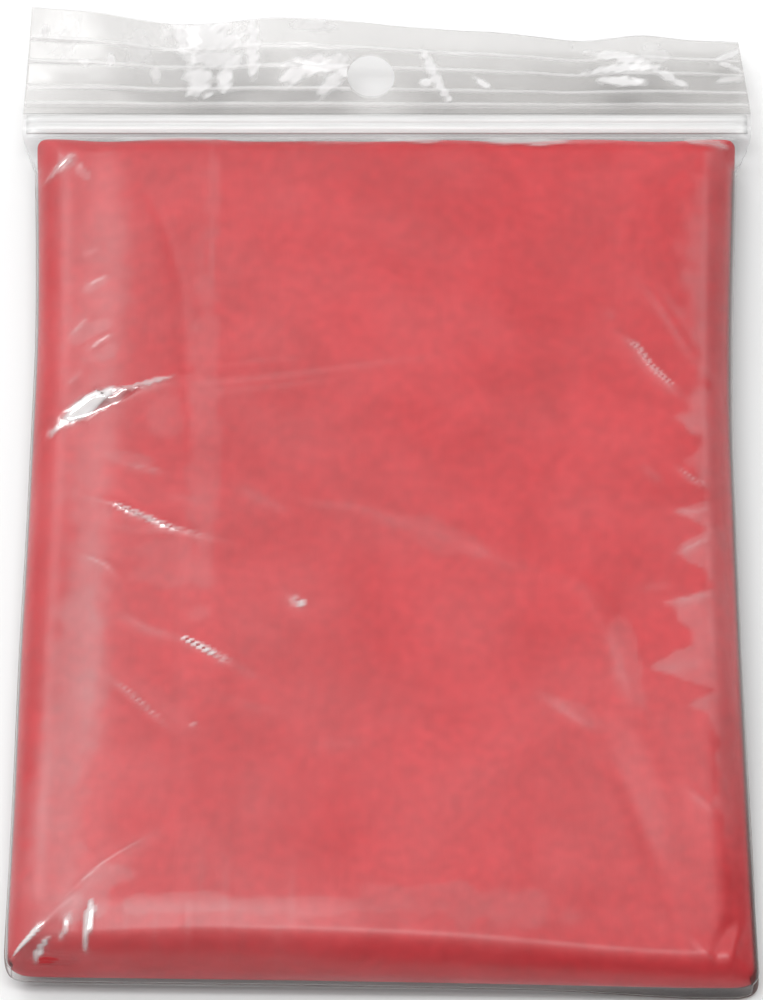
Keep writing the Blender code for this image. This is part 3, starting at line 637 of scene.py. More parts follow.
def film_relief(x, y):
    """Height of the bag's film over the cloth: creases, facets and small waves, never far into the cloth."""
    height = crease_field(FILM_CREASES, x, y) + facet_relief(x, y)
    rise, half_width = LINE_CREASE
    height += waves(FILM_WAVES, x, y) + rise * ridge(x - table_read(RIGHT_LINE, 1, y), half_width)
    return np.maximum(height, FILM_DEEPEST)


def film_haze(x, y, most):
    """Share of the light that the bag's film scatters, up to about most where it stands off the cloth, with
    painted light laid in.

    It clings along the clinging lines. Bands along both sides, slack patches and creases stand off. The share
    is also painted light: it is larger on the left, where the left light falls; the side bands hold painted
    reflections of the side lights, the patches painted glints and highlights, and the creases painted
    highlights on their crests.
    """
    # painted light: the share is larger on the left, where the left light falls, and fades towards the right
    haze = 0.30 - 0.28 * ease((x + 45.0) / 75.0) + 0.07 * ripple(x, y, 20.0, 51)
    haze = haze * (1.0 - np.minimum(crease_field(CLINGING, x, y), 1.0))
    frayed = x + 0.55 * ripple(x, y, 3.5, 57)
    # side bands: slack film, with painted reflections of the side lights along the turns
    left, right, share = (table_read(LEFT_SLACK_AND_REFLECTION_BAND, column, y) for column in (1, 2, 3))
    band = share * ease((frayed - left) / 4.5 + 0.5) * ease((right - frayed) / 4.0 + 0.5)
    left, share, soft = (table_read(RIGHT_SLACK_AND_REFLECTION_BAND, column, y) for column in (1, 2, 3))
    end = table_read(RIGHT_LINE, 1, y)
    toothed = share * ease((frayed - left) / (soft + 0.6) + 0.5) * ease((end - x) / 0.7 + 0.5)
    # the patches hold slack film and painted glints and highlights
    patches = patch_field(SLACK_AND_GLINT_PATCHES, x, y, 6.0, 52)
    # creases show as pale lines: partly film standing off, partly painted highlights on the crests
    creases = np.minimum(crease_field(FILM_CREASES, x, y) * 2.4, 1.0)
    return most * np.maximum(haze + np.maximum(band, toothed) + patches + creases, 0.0)


def turn_samples(count, last_degrees=90.0):
    """Angles of a turn, from just past the flat to its last."""
    return np.radians(np.linspace(0.0, last_degrees, count + 1)[1:])


def across_columns(flat_count, turn_angles, crowding=0.0):
    """Columns across the packet: flat place from -1 to 1, and angle of the side's turn, signed.

    The places t crowd towards the sides as t + crowding sin(pi t) / pi.
    """
    flat = np.linspace(-1.0, 1.0, flat_count)
    flat = flat + crowding * np.sin(math.pi * flat) / math.pi
    places = np.concatenate([-np.ones(len(turn_angles)), flat, np.ones(len(turn_angles))])
    angles = np.concatenate([-turn_angles[::-1], np.zeros(flat_count), turn_angles])
    return places[None, :], angles[None, :]


def relief_share(sizes, points, columns):
    """Share of the relief that stays: all on top, little on the sides, none at the head and underneath."""
    side = 1.0 - 0.85 * ease(np.abs(columns[1]) / math.radians(75.0))
    head = ease((sizes["head_end_y"] - points[..., 1]) / 8.0)
    low = ease((points[..., 2] - 3.5) / 6.0)
    return side * head * low


def pillow(sizes, columns, depth, flat_y, low_angle, head_angle):
    """Points and sheet coordinates of the pillow form at a depth under the bag's outside.

    flat_y, low_angle and head_angle hold one value for each row. An angle runs from 0 on the flat over
    90 degrees on the packet's outline to 180 degrees underneath. In the plan, a pair of turn shares
    (the sines of the two angles) is drawn in so that equal turns lie on squarish ovals: x^4 + y^4 = 1
    at the lower end, and power 14 at the head. The height is the cosine part of the deeper turn. The sheet
    coordinates run on round each turn by its arc length, as on the cloth laid flat.
    """
    place, side_angle = columns
    flat_y, low_angle, head_angle = (np.asarray(v, dtype=float).reshape(-1, 1) for v in
                                     (flat_y, low_angle, head_angle))
    end_angle = low_angle + head_angle
    turn_x = np.sin(np.abs(side_angle))
    turn_y = np.sin(end_angle)
    deepest = np.maximum(turn_x, turn_y)
    power = np.where(head_angle > 0, CORNER_POWERS[1], CORNER_POWERS[0])
    rule = (turn_x ** power + turn_y ** power) ** (1.0 / power)
    draw_in = deepest / np.maximum(rule, 1e-9)
    low_run, head_run = sizes["low_run"] - depth, sizes["head_run"] - depth
    y = flat_y - np.where(low_angle > 0, turn_y * draw_in * low_run, 0.0)
    y = y + np.where(head_angle > 0, turn_y * draw_in * head_run, 0.0)
    left = smooth_read(SIDE_LINES, 1, y) + sizes["side_run"]
    right = smooth_read(SIDE_LINES, 2, y) - sizes["side_run"]
    side_run = sizes["side_run"] - depth
    x = (left + right) / 2 + place * (right - left) / 2 + np.sign(side_angle) * turn_x * draw_in * side_run
    side = np.where(end_angle > math.pi / 2, -1.0, 1.0)
    z = sizes["mid_z"] + side * (sizes["height"] / 2 - depth) * np.sqrt(np.maximum(0.0, 1.0 - deepest ** 2))
    sheet_x = x * 0.0 + (left + right) / 2 + place * (right - left) / 2 + side_angle * side_run
    sheet_y = x * 0.0 + flat_y - low_angle * (low_run + sizes["mid_z"]) / 2 + head_angle * head_run
    return np.stack([x, y + x * 0.0, z], axis=2), sheet_x, sheet_y


def settle(sizes, points, depth):
    """The plain pillow's points where they come to lie.

    The lower end leans back by a cubic ease of the height, most in its middle. Its line runs a little
    aslant, and the top sags towards the lower right corner by the product of a cubic ease of x and one
    of y.
    """
    x, y, z = points[..., 0], points[..., 1], points[..., 2]
    low = ease((sizes["lean_start_y"] - y) / sizes["lean_stretch"])
    back = ease((z - sizes["lean_from_z"]) / (sizes["height"] - sizes["lean_from_z"])) * sizes["lean"]
    back = back * ease((x - LEAN_LEFT[0]) / LEAN_LEFT[1])
    back = back * (1.0 - ease((x - LEAN_RIGHT[0]) / LEAN_RIGHT[1]))
    inset = np.maximum(0.0, sizes["inset"] - INSET_SLOPE * x)
    sag = sizes["sag"] * ease((x - sizes["sag_start_x"]) / sizes["sag_stretch_x"])
    sag = sag * ease((sizes["sag_start_y"] - y) / sizes["sag_stretch_y"])
    return np.stack([x, y + low * (back + inset), z - sag * ease(z / sizes["height"])], axis=2)


def grid_normals(points):
    """Unit normals of a grid of points, from the cross product of its two directions."""
    down, over = np.gradient(points, axis=0), np.gradient(points, axis=1)
    normals = np.cross(over, down)
    lengths = np.linalg.norm(normals, axis=2, keepdims=True)
    return normals / np.maximum(lengths, 1e-12)


def grid_quads(row_count, column_count, first=0):
    """Corner indices of a grid's cells."""
    row, column = np.meshgrid(np.arange(row_count - 1), np.arange(column_count - 1), indexing="ij")
    a = (first + row * column_count + column).ravel()
    return np.stack([a, a + 1, a + column_count + 1, a + column_count], axis=1)


def grid_border(row_count, column_count):
    """Indices round the edge of a grid, in order."""
    index = np.arange(row_count * column_count).reshape(row_count, column_count)
    return np.concatenate([index[0, :-1], index[:-1, -1], index[-1, :0:-1], index[:0:-1, 0]])


def signed_volume(points, quads):
    """Six times the volume that the faces enclose, positive where they face out."""
    a, b, c, d = (points[quads[:, corner]] for corner in range(4))
    return float(np.sum(np.cross(b - a, c - a) * a) + np.sum(np.cross(c - a, d - a) * a))


def add_piece(name, points, quads, sheet, material, marks=None):
    """A mesh object from points in millimetres, with its sheet coordinates as the UV map, on the body.

    marks are values for the material, by name, one for each point.
    """
    if signed_volume(points, quads) < 0.0:
        quads = quads[:, ::-1]
    mesh = bpy.data.meshes.new(name)
    mesh.vertices.add(len(points))
    mesh.vertices.foreach_set("co", (points * MM).astype(np.float32).ravel())
    mesh.loops.add(quads.size)
    mesh.loops.foreach_set("vertex_index", quads.astype(np.int32).ravel())
    mesh.polygons.add(len(quads))
    mesh.polygons.foreach_set("loop_start", np.arange(0, quads.size, 4, dtype=np.int32))
    mesh.update(calc_edges=True)
    uv = mesh.uv_layers.new(name="sheet")
    uv.data.foreach_set("uv", (sheet[quads.ravel()] * MM).astype(np.float32).ravel())
    for mark, values in (marks or {}).items():
        attribute = mesh.attributes.new(mark, "FLOAT", "POINT")
        attribute.data.foreach_set("value", values.astype(np.float32).ravel())
    mesh.shade_smooth()
    mesh.materials.append(material)
    piece = bpy.data.objects.new(name, mesh)
    bpy.context.scene.collection.objects.link(piece)
    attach(piece, BODY)
    return piece


def add_shell(name, outside, inside, sheet_x, sheet_y, material, slot, **marks):
    """A closed thin shell between two grids of the same size. marks are further grids of values.

    The material counts the haze and painted light h of both of the shell's faces on one, as 1 - (1 - h)^2.
    """
    rows, cols = outside.shape[:2]
    half = rows * cols
    points = np.concatenate([outside.reshape(-1, 3), inside.reshape(-1, 3)])
    edge = grid_border(rows, cols)
    after = np.roll(edge, -1)
    rim = np.stack([edge, edge + half, after + half, after], axis=1)
    quads = np.concatenate([grid_quads(rows, cols), grid_quads(rows, cols, half)[:, ::-1], rim])
    sheet = np.stack([sheet_x.ravel(), sheet_y.ravel()], axis=1)
    marks["haze"] = 1.0 - (1.0 - np.clip(marks.get("haze", 0.0), 0.0, 1.0)) ** 2
    marks = {mark: np.tile(np.broadcast_to(values, (rows, cols)).ravel(), 2)
             for mark, values in marks.items()}
    return add_piece(name, points, quads, np.concatenate([sheet, sheet]), material, marks)


def joined_at_rim(upper, lower):
    """Points and faces of two grids that share their rim, and which points of both grids are kept."""
    rows, cols = upper.shape[:2]
    count = rows * cols
    edge = grid_border(rows, cols)
    quads = np.concatenate([grid_quads(rows, cols), grid_quads(rows, cols, count)[:, ::-1]])
    lookup = np.arange(2 * count)
    lookup[edge + count] = edge
    kept = np.ones(2 * count, dtype=bool)
    kept[edge + count] = False
    fresh = np.cumsum(kept) - 1
    points = np.concatenate([upper.reshape(-1, 3), lower.reshape(-1, 3)])[kept]
    return points, fresh[lookup[quads]], kept


def turn_out(points, amount, like_top=True):
    """Points moved along the surface's outward normal by an amount, and the normals used."""
    normals = grid_normals(points)
    middle = normals[points.shape[0] // 2, points.shape[1] // 2, 2]
    if (middle > 0) != like_top:
        normals = -normals
    return points + normals * amount[..., None], normals


class Nodes:
    """A material's node tree, with short calls for adding and joining nodes."""

    def __init__(self, name):
        self.material = bpy.data.materials.new(name)
        self.material.use_nodes = True
        self.tree = self.material.node_tree
        self.tree.nodes.clear()

    def add(self, kind, inputs=None, **settings):
        node = self.tree.nodes.new(kind)
        for key, value in settings.items():
            setattr(node, key, value)
        for key, value in (inputs or {}).items():
            if isinstance(value, bpy.types.NodeSocket):
                self.tree.links.new(value, node.inputs[key])
            else:
                node.inputs[key].default_value = value
        return node

    def ramp(self, value, stops):
        """A colour ramp: pairs of place and grey value."""
        node = self.add("ShaderNodeValToRGB", {"Fac": value})
        elements = node.color_ramp.elements
        while len(elements) < len(stops):
            elements.new(0.5)
        for element, (place, grey) in zip(elements, stops):
            element.position = place
            element.color = (grey, grey, grey, 1.0)
        return node.outputs["Color"]

    def finish(self, shader):
        output = self.add("ShaderNodeOutputMaterial")
        self.tree.links.new(shader, output.inputs["Surface"])
        return self.material


def rgba(values):
    return (values[0], values[1], values[2], 1.0)


def cloth_material(finish, name, base, deep):
    """Thin matt polythene, crumpled finely, darker where the bag's film clings to it."""
    nodes = Nodes(name)
    coords = nodes.add("ShaderNodeTexCoord").outputs["Object"]
    patches = nodes.add("ShaderNodeTexNoise", {"Vector": coords, "Scale": 55.0, "Detail": 5.0,
                                               "Roughness": 0.62, "Distortion": 0.6})
    mottle = nodes.add("ShaderNodeTexNoise", {"Vector": coords, "Scale": 620.0, "Detail": 4.0})
    share = nodes.ramp(patches.outputs["Fac"], ((0.38, 0.0), (0.62, 1.0)))
    tone = nodes.add("ShaderNodeMix", {0: share, 6: rgba(deep), 7: rgba(base)}, data_type="RGBA")
    fine = nodes.ramp(mottle.outputs["Fac"], ((0.3, 0.84), (0.7, 1.0)))
    speckled = nodes.add("ShaderNodeMix", {0: 1.0, 6: tone.outputs[2], 7: fine}, data_type="RGBA",
                         blend_type="MULTIPLY")
    stretch = nodes.add("ShaderNodeMapping", {"Vector": coords, "Scale": (900.0, 260.0, 900.0)})
    crumple = nodes.add("ShaderNodeTexNoise", {"Vector": stretch.outputs["Vector"], "Scale": 1.0,
                                               "Detail": 4.0})
    bump = nodes.add("ShaderNodeBump", {"Height": crumple.outputs["Fac"], "Strength": 0.25,
                                        "Distance": 0.0002})
    shader = nodes.add("ShaderNodeBsdfPrincipled", {
        "Base Color": speckled.outputs[2], "Roughness": 0.55, "Specular IOR Level": 0.2,
        "Normal": bump.outputs["Normal"]})
    return nodes.finish(shader.outputs["BSDF"])


def film_material(finish, name, tint, roughness):
    """Clear polythene: light goes straight through, is scattered by haze, and glances off. Its marks also
    paint light and shade.

    The share scattered is the mark "haze", made cloudy: milky haze, and painted light laid on as haze (a
    lighter left, painted reflections along the sides, painted glints, highlights and glare). The share that
    glances off follows Schlick's rule for both faces of rough polythene, 0.04 + 0.96 (1 - cosine)^5. It is
    stronger by 0.2 and sharper where the mark "gloss" is 1. Light meets both on the face it enters by, and
    leaves the other freely.
    The mark "seal" darkens the film along its welded seams, and paints shade on the turns of the sides,
    reaching further in on the shaded right, and along the foot of the lower end.
    """
    nodes = Nodes(name)
    coords = nodes.add("ShaderNodeTexCoord").outputs["Object"]
    haze, gloss, seal = (nodes.add("ShaderNodeAttribute", attribute_name=mark).outputs["Fac"]
                         for mark in ("haze", "gloss", "seal"))
    cloud = nodes.add("ShaderNodeTexNoise", {"Vector": coords, "Scale": 110.0, "Detail": 2.0,
                                             "Roughness": 0.6})
    cloudy = nodes.ramp(cloud.outputs["Fac"], ((0.3, 0.62), (0.7, 1.0)))
    leaving = nodes.add("ShaderNodeNewGeometry").outputs["Backfacing"]
    entering = nodes.add("ShaderNodeMath", {0: 1.0, 1: leaving}, operation="SUBTRACT").outputs[0]
    milky = nodes.add("ShaderNodeMath", {0: haze, 1: cloudy}, operation="MULTIPLY", use_clamp=True)
    share = nodes.add("ShaderNodeMath", {0: milky.outputs[0], 1: entering}, operation="MULTIPLY")
    facing = nodes.add("ShaderNodeLayerWeight", {"Blend": 0.5})
    steep = nodes.add("ShaderNodeMath", {0: facing.outputs["Facing"], 1: 5.0}, operation="POWER")
    least = nodes.add("ShaderNodeMapRange", {"Value": gloss, "To Min": 0.04, "To Max": 0.24})
    glancing = nodes.add("ShaderNodeMath", {0: steep.outputs[0], 1: 0.96, 2: least.outputs[0]},
                         operation="MULTIPLY_ADD", use_clamp=True)
    glance = nodes.add("ShaderNodeMath", {0: glancing.outputs[0], 1: entering}, operation="MULTIPLY")
    rough = nodes.add("ShaderNodeMapRange", {"Value": gloss, "To Min": roughness, "To Max": 0.09})
    # the film is tinted towards the seal colour along the welded seams and where shade is painted
    see_through = nodes.add("ShaderNodeMix", {0: seal, 6: rgba(tint), 7: rgba(finish.seal)}, data_type="RGBA")
    clear = nodes.add("ShaderNodeBsdfTransparent", {"Color": see_through.outputs[2]})
    milk = nodes.add("ShaderNodeBsdfPrincipled", {"Base Color": rgba(finish.haze), "Roughness": 0.6})
    sheen = nodes.add("ShaderNodeBsdfPrincipled", {
        "Base Color": (1.0, 1.0, 1.0, 1.0), "Metallic": 1.0, "Roughness": rough.outputs[0]})
    # the scattered share is milky haze and painted light, laid on as white diffuse
    haze_and_light_mix = nodes.add("ShaderNodeMixShader", {0: share.outputs[0], 1: clear.outputs[0], 2: milk.outputs[0]})
    whole = nodes.add("ShaderNodeMixShader", {0: glance.outputs[0], 1: haze_and_light_mix.outputs[0], 2: sheen.outputs[0]})
    return nodes.finish(whole.outputs[0])


def zip_material(finish):
    """Milky moulded polythene of the zip, a little see-through."""
    nodes = Nodes("zip_polythene")
    coords = nodes.add("ShaderNodeTexCoord").outputs["Object"]
    streaks = nodes.add("ShaderNodeMapping", {"Vector": coords, "Scale": (60.0, 2500.0, 2500.0)})
    grain = nodes.add("ShaderNodeTexNoise", {"Vector": streaks.outputs["Vector"], "Scale": 1.0,
                                             "Detail": 2.0})
    share = nodes.ramp(grain.outputs["Fac"], ((0.3, 0.80), (0.7, 0.95)))
    milk = nodes.add("ShaderNodeBsdfPrincipled", {"Base Color": rgba(finish.zip), "Roughness": 0.28})
    clear = nodes.add("ShaderNodeBsdfTransparent", {"Color": rgba(finish.film)})
    whole = nodes.add("ShaderNodeMixShader", {0: share, 1: clear.outputs[0], 2: milk.outputs[0]})
    return nodes.finish(whole.outputs[0])


def floor_material(finish):
    nodes = Nodes("floor_paper")
    shader = nodes.add("ShaderNodeBsdfPrincipled", {"Base Color": rgba(finish.floor), "Roughness": 0.7,
                                                    "Specular IOR Level": 0.2})
    return nodes.finish(shader.outputs["BSDF"])


def flat_ends(sizes):
    """Y where the flat ends towards the head and towards the lower end."""
    return sizes["head_end_y"] - sizes["head_run"], sizes["low_end_y"] + sizes["low_run"]


def stack_rows(*parts):
    """Row values from parts, each a list of (flat y, lower angle, head angle) arrays of one length."""
    return [np.concatenate([np.broadcast_to(part[index], np.broadcast(*part).shape) for part in parts])
            for index in range(3)]


class PONCHO_OT_outer_ply(bpy.types.Operator):
    """Add the poncho's outermost ply, wrapped over the packet, round its lower end and underneath."""

    bl_idname = "poncho.outer_ply"
    bl_label = "Outermost Ply"

    def execute(self, context):
        sizes = all_sizes(context)
        finish = context.scene.poncho_finish
        head_y, low_y = flat_ends(sizes)
        columns = across_columns(124, turn_samples(16, 80.0))
        rows = stack_rows(
            (head_y, 0.0, turn_samples(12, 66.0)[::-1]),
            (np.linspace(head_y, low_y, 150), 0.0, 0.0),
            (low_y, turn_samples(48, 180.0), 0.0),
            (np.linspace(low_y, head_y - 12.0, 34)[1:], math.pi, 0.0),
        )
        points, sheet_x, sheet_y = pillow(sizes, columns, sizes["cloth_depth"], *rows)
        points = settle(sizes, points, sizes["cloth_depth"])
        wavy = 0.4 * (1.0 + ripple(points[..., 0], points[..., 1] * 0.0, 20.0, 63))
        points[..., 1] -= wavy * ease((points[..., 1] - head_y) / sizes["head_run"])
        under = ease((np.asarray(rows[1]).reshape(-1, 1) - math.pi * 0.5) / 0.6)
        share = relief_share(sizes, points, columns) * (1.0 - under)
        relief = cloth_relief(sizes, points[..., 0], points[..., 1]) * share
        outside, normals = turn_out(points, relief)
        inside = outside - normals * sizes["cloth_thickness"]
        material = cloth_material(finish, "red_polythene", finish.cloth, finish.cloth_deep)
        ply = add_shell("poncho_outer_ply", outside, inside, sheet_x, sheet_y, material, "poncho_film")
        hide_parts("outer_wrap")
        return {"FINISHED"}


class PONCHO_OT_folds(bpy.types.Operator):
    """Add the stack of hidden folds, with the plies' edges round its sides."""

    bl_idname = "poncho.folds"
    bl_label = "Hidden Folds"

    def grooves(self, sizes, half, like_top):
        """Half the stack with uneven grooves between its plies, where it stands upright.

        A groove's depth follows 1 - |sin(pi z / pitch)|^0.6, with the phase and the depth varied softly.
        """
        normals = turn_out(half, half[..., 0] * 0.0, like_top)[1]
        upright = 1.0 - np.abs(normals[..., 2])
        around = half[..., 0] + half[..., 1]
        phase = half[..., 2] / sizes["layer_pitch"] + 0.5 * ripple(around, half[..., 2] * 4.0, 34.0, 31)
        groove = 1.0 - np.abs(np.sin(math.pi * phase)) ** 0.6
        uneven = 0.6 + 0.4 * ripple(half[..., 2] * 9.0, around * 0.3, 12.0, 32)
        return half - normals * (sizes["layer_groove"] * groove * uneven * upright)[..., None]

    def execute(self, context):
        sizes = all_sizes(context)
        finish = context.scene.poncho_finish
        head_y, low_y = flat_ends(sizes)
        depth = sizes["cloth_depth"] + sizes["cloth_thickness"] + 0.25
        columns = across_columns(40, turn_samples(44))
        rows = stack_rows(
            (head_y, 0.0, turn_samples(40)[::-1]),
            (np.linspace(head_y, low_y, 60), 0.0, 0.0),
            (low_y, turn_samples(40), 0.0),
        )
        top, sheet_x, sheet_y = pillow(sizes, columns, depth, *rows)
        headroom = 0.9 * ease((top[..., 2] - sizes["mid_z"]) / (sizes["height"] / 2 - depth))
        top[..., 2] -= headroom
        bottom = pillow(sizes, columns, depth, *rows)[0]
        bottom[..., 2] = 2.0 * sizes["mid_z"] - bottom[..., 2]
        top, bottom = settle(sizes, top, depth), settle(sizes, bottom, depth)
        grooved = [self.grooves(sizes, half, like_top) for half, like_top in ((top, True), (bottom, False))]
        points, quads, kept = joined_at_rim(*grooved)
        sheet = np.tile(np.stack([sheet_x.ravel(), sheet_y.ravel()], axis=1), (2, 1))[kept]
        material = cloth_material(finish, "red_polythene_folds", finish.folds, finish.cloth_deep)
        folds = add_piece("poncho_folds", points, quads, sheet, material)
        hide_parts("folded_layers")
        return {"FINISHED"}


def flap_share(sizes, x):
    """0 where the lower end's seam is tucked in, 1 where it has come down as a flap."""
    return ease((x - sizes["seam_from_x"]) / (sizes["seam_fall_x"] - sizes["seam_from_x"]))


def seam_height(sizes, x, y):
    """Height of the bag's seam: halfway up the sides, up to the zip, and lower along the lower end.

    There it is tucked in on the left, and comes down to the floor towards the right as a flap, which
    also runs up the right side.
    """
    flap = flap_share(sizes, x)
    foot = sizes["seam_tucked_z"] + (sizes["seam_low_z"] - sizes["seam_tucked_z"]) * flap
    low = ease((y - sizes["low_end_y"]) / (sizes["low_run"] + sizes["flap_length"] * flap))
    head_start = sizes["head_end_y"] - sizes["head_run"]
    head = ease((y - head_start) / (sizes["zip_low_y"] - head_start))
    return foot + (sizes["mid_z"] - foot) * low + (sizes["zip_z"] - sizes["mid_z"]) * head


def bag_side(sizes, y, sign):
    """The bag's side line: the packet's, easing out to the zip's wider one, which narrows to the top."""
    head_start = sizes["head_end_y"] - sizes["head_run"]
    share = ease((y - head_start) / (sizes["zip_low_y"] - head_start))
    rise = np.clip((y - sizes["zip_high_y"]) / (sizes["top_y"] - sizes["zip_high_y"]), 0.0, 1.0)
    wide = sizes["half_width"] + (sizes["top_half_width"] - sizes["half_width"]) * rise
    return smooth_read(SIDE_LINES, 1 if sign < 0 else 2, y) * (1.0 - share) + sign * wide * share


def arch(sizes, columns, y, crown, foot):
    """Rows across the bag near its head: level in the middle, elliptic quarter turns to the seams."""
    place, side_angle = columns
    y, crown, foot = (np.asarray(v, dtype=float).reshape(-1, 1) for v in (y, crown, foot))
    left = bag_side(sizes, y, -1) + sizes["side_run"]
    right = bag_side(sizes, y, 1) - sizes["side_run"]
    x = (left + right) / 2 + place * (right - left) / 2 + np.sin(side_angle) * sizes["side_run"]
    z = foot + (crown - foot) * np.cos(side_angle)
    sheet_x = (left + right) / 2 + place * (right - left) / 2 + side_angle * sizes["side_run"]
    return np.stack([x, y + x * 0.0, z], axis=2), sheet_x, y + x * 0.0


def seal_mark(sizes, points, columns):
    """1 where the bag's films are welded together, along both sides and the lower end, fading to 0. Along the
    sides' turns, reaching further in on the right, and near the floor at the lower end, it is painted shade.
    """
    # painted shade: the seal starts at a smaller turn on the right, the side in shade
    first = np.where(columns[1] > 0, SEAL_AND_SHADE_ANGLES[1], SEAL_AND_SHADE_ANGLES[0])
    sides = ease((np.abs(np.degrees(columns[1])) - first) / 9.0)
    # painted shade: the film darkens near the floor along the lower end, the packet's foot in contact shade
    painted_foot_shade = ease((4.5 - points[..., 2]) / 3.0) * ease((sizes["low_end_y"] + 4.0 - points[..., 1]) / 2.0)
    painted_foot_shade = painted_foot_shade * (0.3 + 0.7 * flap_share(sizes, points[..., 0]))
    return np.maximum(sides, painted_foot_shade) * ease((sizes["head_end_y"] - 4.0 - points[..., 1]) / 6.0)


class PONCHO_OT_bag_front(bpy.types.Operator):
    """Add the bag's front film, from the zip over the packet to its bottom seal."""

    bl_idname = "poncho.bag_front"
    bl_label = "Bag, Front Film"

    def execute(self, context):
        sizes = all_sizes(context)
        finish = context.scene.poncho_finish
        head_y, low_y = flat_ends(sizes)
        columns = across_columns(120, turn_samples(14), 0.3)
        zip_y = np.linspace(sizes["zip_high_y"], sizes["zip_low_y"], 12)
        zip_rise = np.interp(sizes["zip_high_y"] - zip_y, *np.array(ZIP_PROFILE).T) * 0.5
        zip_z = sizes["zip_z"] + 0.75 + zip_rise
        fall_y = np.linspace(sizes["zip_low_y"], head_y, 16)[1:-1]
        share = np.clip((fall_y - head_y) / sizes["head_run"], 0.0, 1.0)
        crown = sizes["mid_z"] + sizes["height"] / 2 * np.sqrt(1.0 - share ** 2)
        crown = np.maximum(crown, sizes["zip_z"] + 0.75)
        seam = seam_height(sizes, 0.0, fall_y)
        zip_part = arch(sizes, columns, zip_y, zip_z, zip_z)
        fall_part = arch(sizes, columns, fall_y, crown, seam)
        rows = stack_rows((np.linspace(head_y, low_y, 262), 0.0, 0.0), (low_y, turn_samples(24), 0.0))
        packet_part = pillow(sizes, columns, sizes["film_depth"], *rows)
        skirt_shares = np.linspace(0.0, 1.0, 11)[1:, None]
        skirt = np.repeat(packet_part[0][-1:], len(skirt_shares), axis=0)
        skirt[..., 2] += (seam_height(sizes, skirt[..., 0], skirt[..., 1]) - skirt[..., 2]) * skirt_shares
        skirt_y = packet_part[2][-1:] - skirt_shares * sizes["mid_z"]
        parts = (zip_part, fall_part, packet_part, (skirt, packet_part[1][-1:] + skirt_shares * 0.0, skirt_y))
        points, sheet_x, sheet_y = (np.concatenate([part[index] for part in parts]) for index in range(3))
        packet_rows = slice(len(zip_y) + len(fall_y), None)
        seam = seam_height(sizes, points[packet_rows, :, 0], points[packet_rows, :, 1])
        points[packet_rows, :, 2] = np.maximum(points[packet_rows, :, 2], seam)
        points = settle(sizes, points, sizes["film_depth"])
        x, y = points[..., 0], points[..., 1]
        relief = cloth_relief(sizes, x, y) + film_relief(x, y)
        outside, normals = turn_out(points, relief * relief_share(sizes, points, columns))
        inside = outside - normals * sizes["film"]
        # painted shade: the haze and painted light fade out between 11 and 7.5 mm of height, darkening the
        # lower end's front face
        haze = film_haze(x, y, HAZE_AND_PAINTED_LIGHT_MOST) * ease((points[..., 2] - 7.5) / 3.5)
        haze = np.where(y > sizes["zip_low_y"], ZIP_HAZE, haze)
        facets = tuple((*facet[:5], 1.0) for facet in FACETS)
        sharp = ease((crease_field(FILM_CREASES, x, y) - CREASE_GLOSS[0]) / CREASE_GLOSS[1])
        gloss = np.minimum(sharp + patch_field(facets, x, y, 3.0, 54), 1.0)
        seal = seal_mark(sizes, points, columns)
        material = film_material(finish, "clear_polythene", finish.film, 0.36)
        film = add_shell("bag_film_front", outside, inside, sheet_x, sheet_y, material, "bag_film",
                         haze=haze, gloss=gloss, seal=seal)
        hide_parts("bag_front")
        return {"FINISHED"}


class PONCHO_OT_bag_back(bpy.types.Operator):
    """Add the bag's back film, flat under the packet and turned up to the seams and the zip."""

    bl_idname = "poncho.bag_back"
    bl_label = "Bag, Back Film"

    def execute(self, context):
        sizes = all_sizes(context)
        finish = context.scene.poncho_finish
        head_y, low_y = flat_ends(sizes)
        columns = across_columns(44, turn_samples(14))
        zip_y = np.linspace(sizes["zip_high_y"], sizes["zip_low_y"], 5)
        zip_z = np.full(len(zip_y), sizes["zip_z"] - 0.75)
        fall_y = np.linspace(sizes["head_end_y"], head_y, 18)[:-1]
        share = np.clip((fall_y - head_y) / sizes["head_run"], 0.0, 1.0)
        crown = sizes["mid_z"] * (1.0 - np.sqrt(1.0 - share ** 2))
        seam = seam_height(sizes, 0.0, fall_y)
        parts = [arch(sizes, columns, zip_y, zip_z, zip_z), arch(sizes, columns, fall_y, crown, seam)]
        rows = stack_rows((np.linspace(head_y, low_y, 60), 0.0, 0.0), (low_y, turn_samples(18), 0.0))
        flat_points, flat_x, flat_y = pillow(sizes, columns, 0.0, *rows)
        turn = np.maximum(np.sin(np.abs(columns[1])), np.sin(np.asarray(rows[1]).reshape(-1, 1)))
        rim = seam_height(sizes, flat_points[..., 0], flat_points[..., 1])
        flat_points[..., 2] = rim * (1.0 - np.sqrt(np.maximum(0.0, 1.0 - turn ** 2)))
        flat_points = settle(sizes, flat_points, 0.0)
        parts.append((flat_points, flat_x, flat_y))
        points, sheet_x, sheet_y = (np.concatenate([part[index] for part in parts]) for index in range(3))
        normals = turn_out(points, sheet_x * 0.0, like_top=False)[1]
        inside = points - normals * sizes["film"]
        seal = seal_mark(sizes, points, columns)
        cloudy = BACK_HAZE + 0.02 * ripple(points[..., 0], points[..., 1], 20.0, 61)
        material = film_material(finish, "clear_polythene_back", finish.film, 0.22)
        film = add_shell("bag_film_back", points, inside, sheet_x, sheet_y, material, "bag_film",
                         haze=cloudy, gloss=cloudy * 0.0, seal=seal)
        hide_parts("bag_back")
        return {"FINISHED"}


def header_height(sizes, x, y):
    """Height of the header: it leaves the zip level and bends to the wave of its free edge."""
    share = np.clip((y - sizes["zip_high_y"]) / (sizes["top_y"] - sizes["zip_high_y"]), 0.0, 1.0)
    edge = smooth_read(HEADER_EDGE, 1, x) - 0.5
    return sizes["zip_z"] + (edge - sizes["zip_z"]) * share ** 1.3


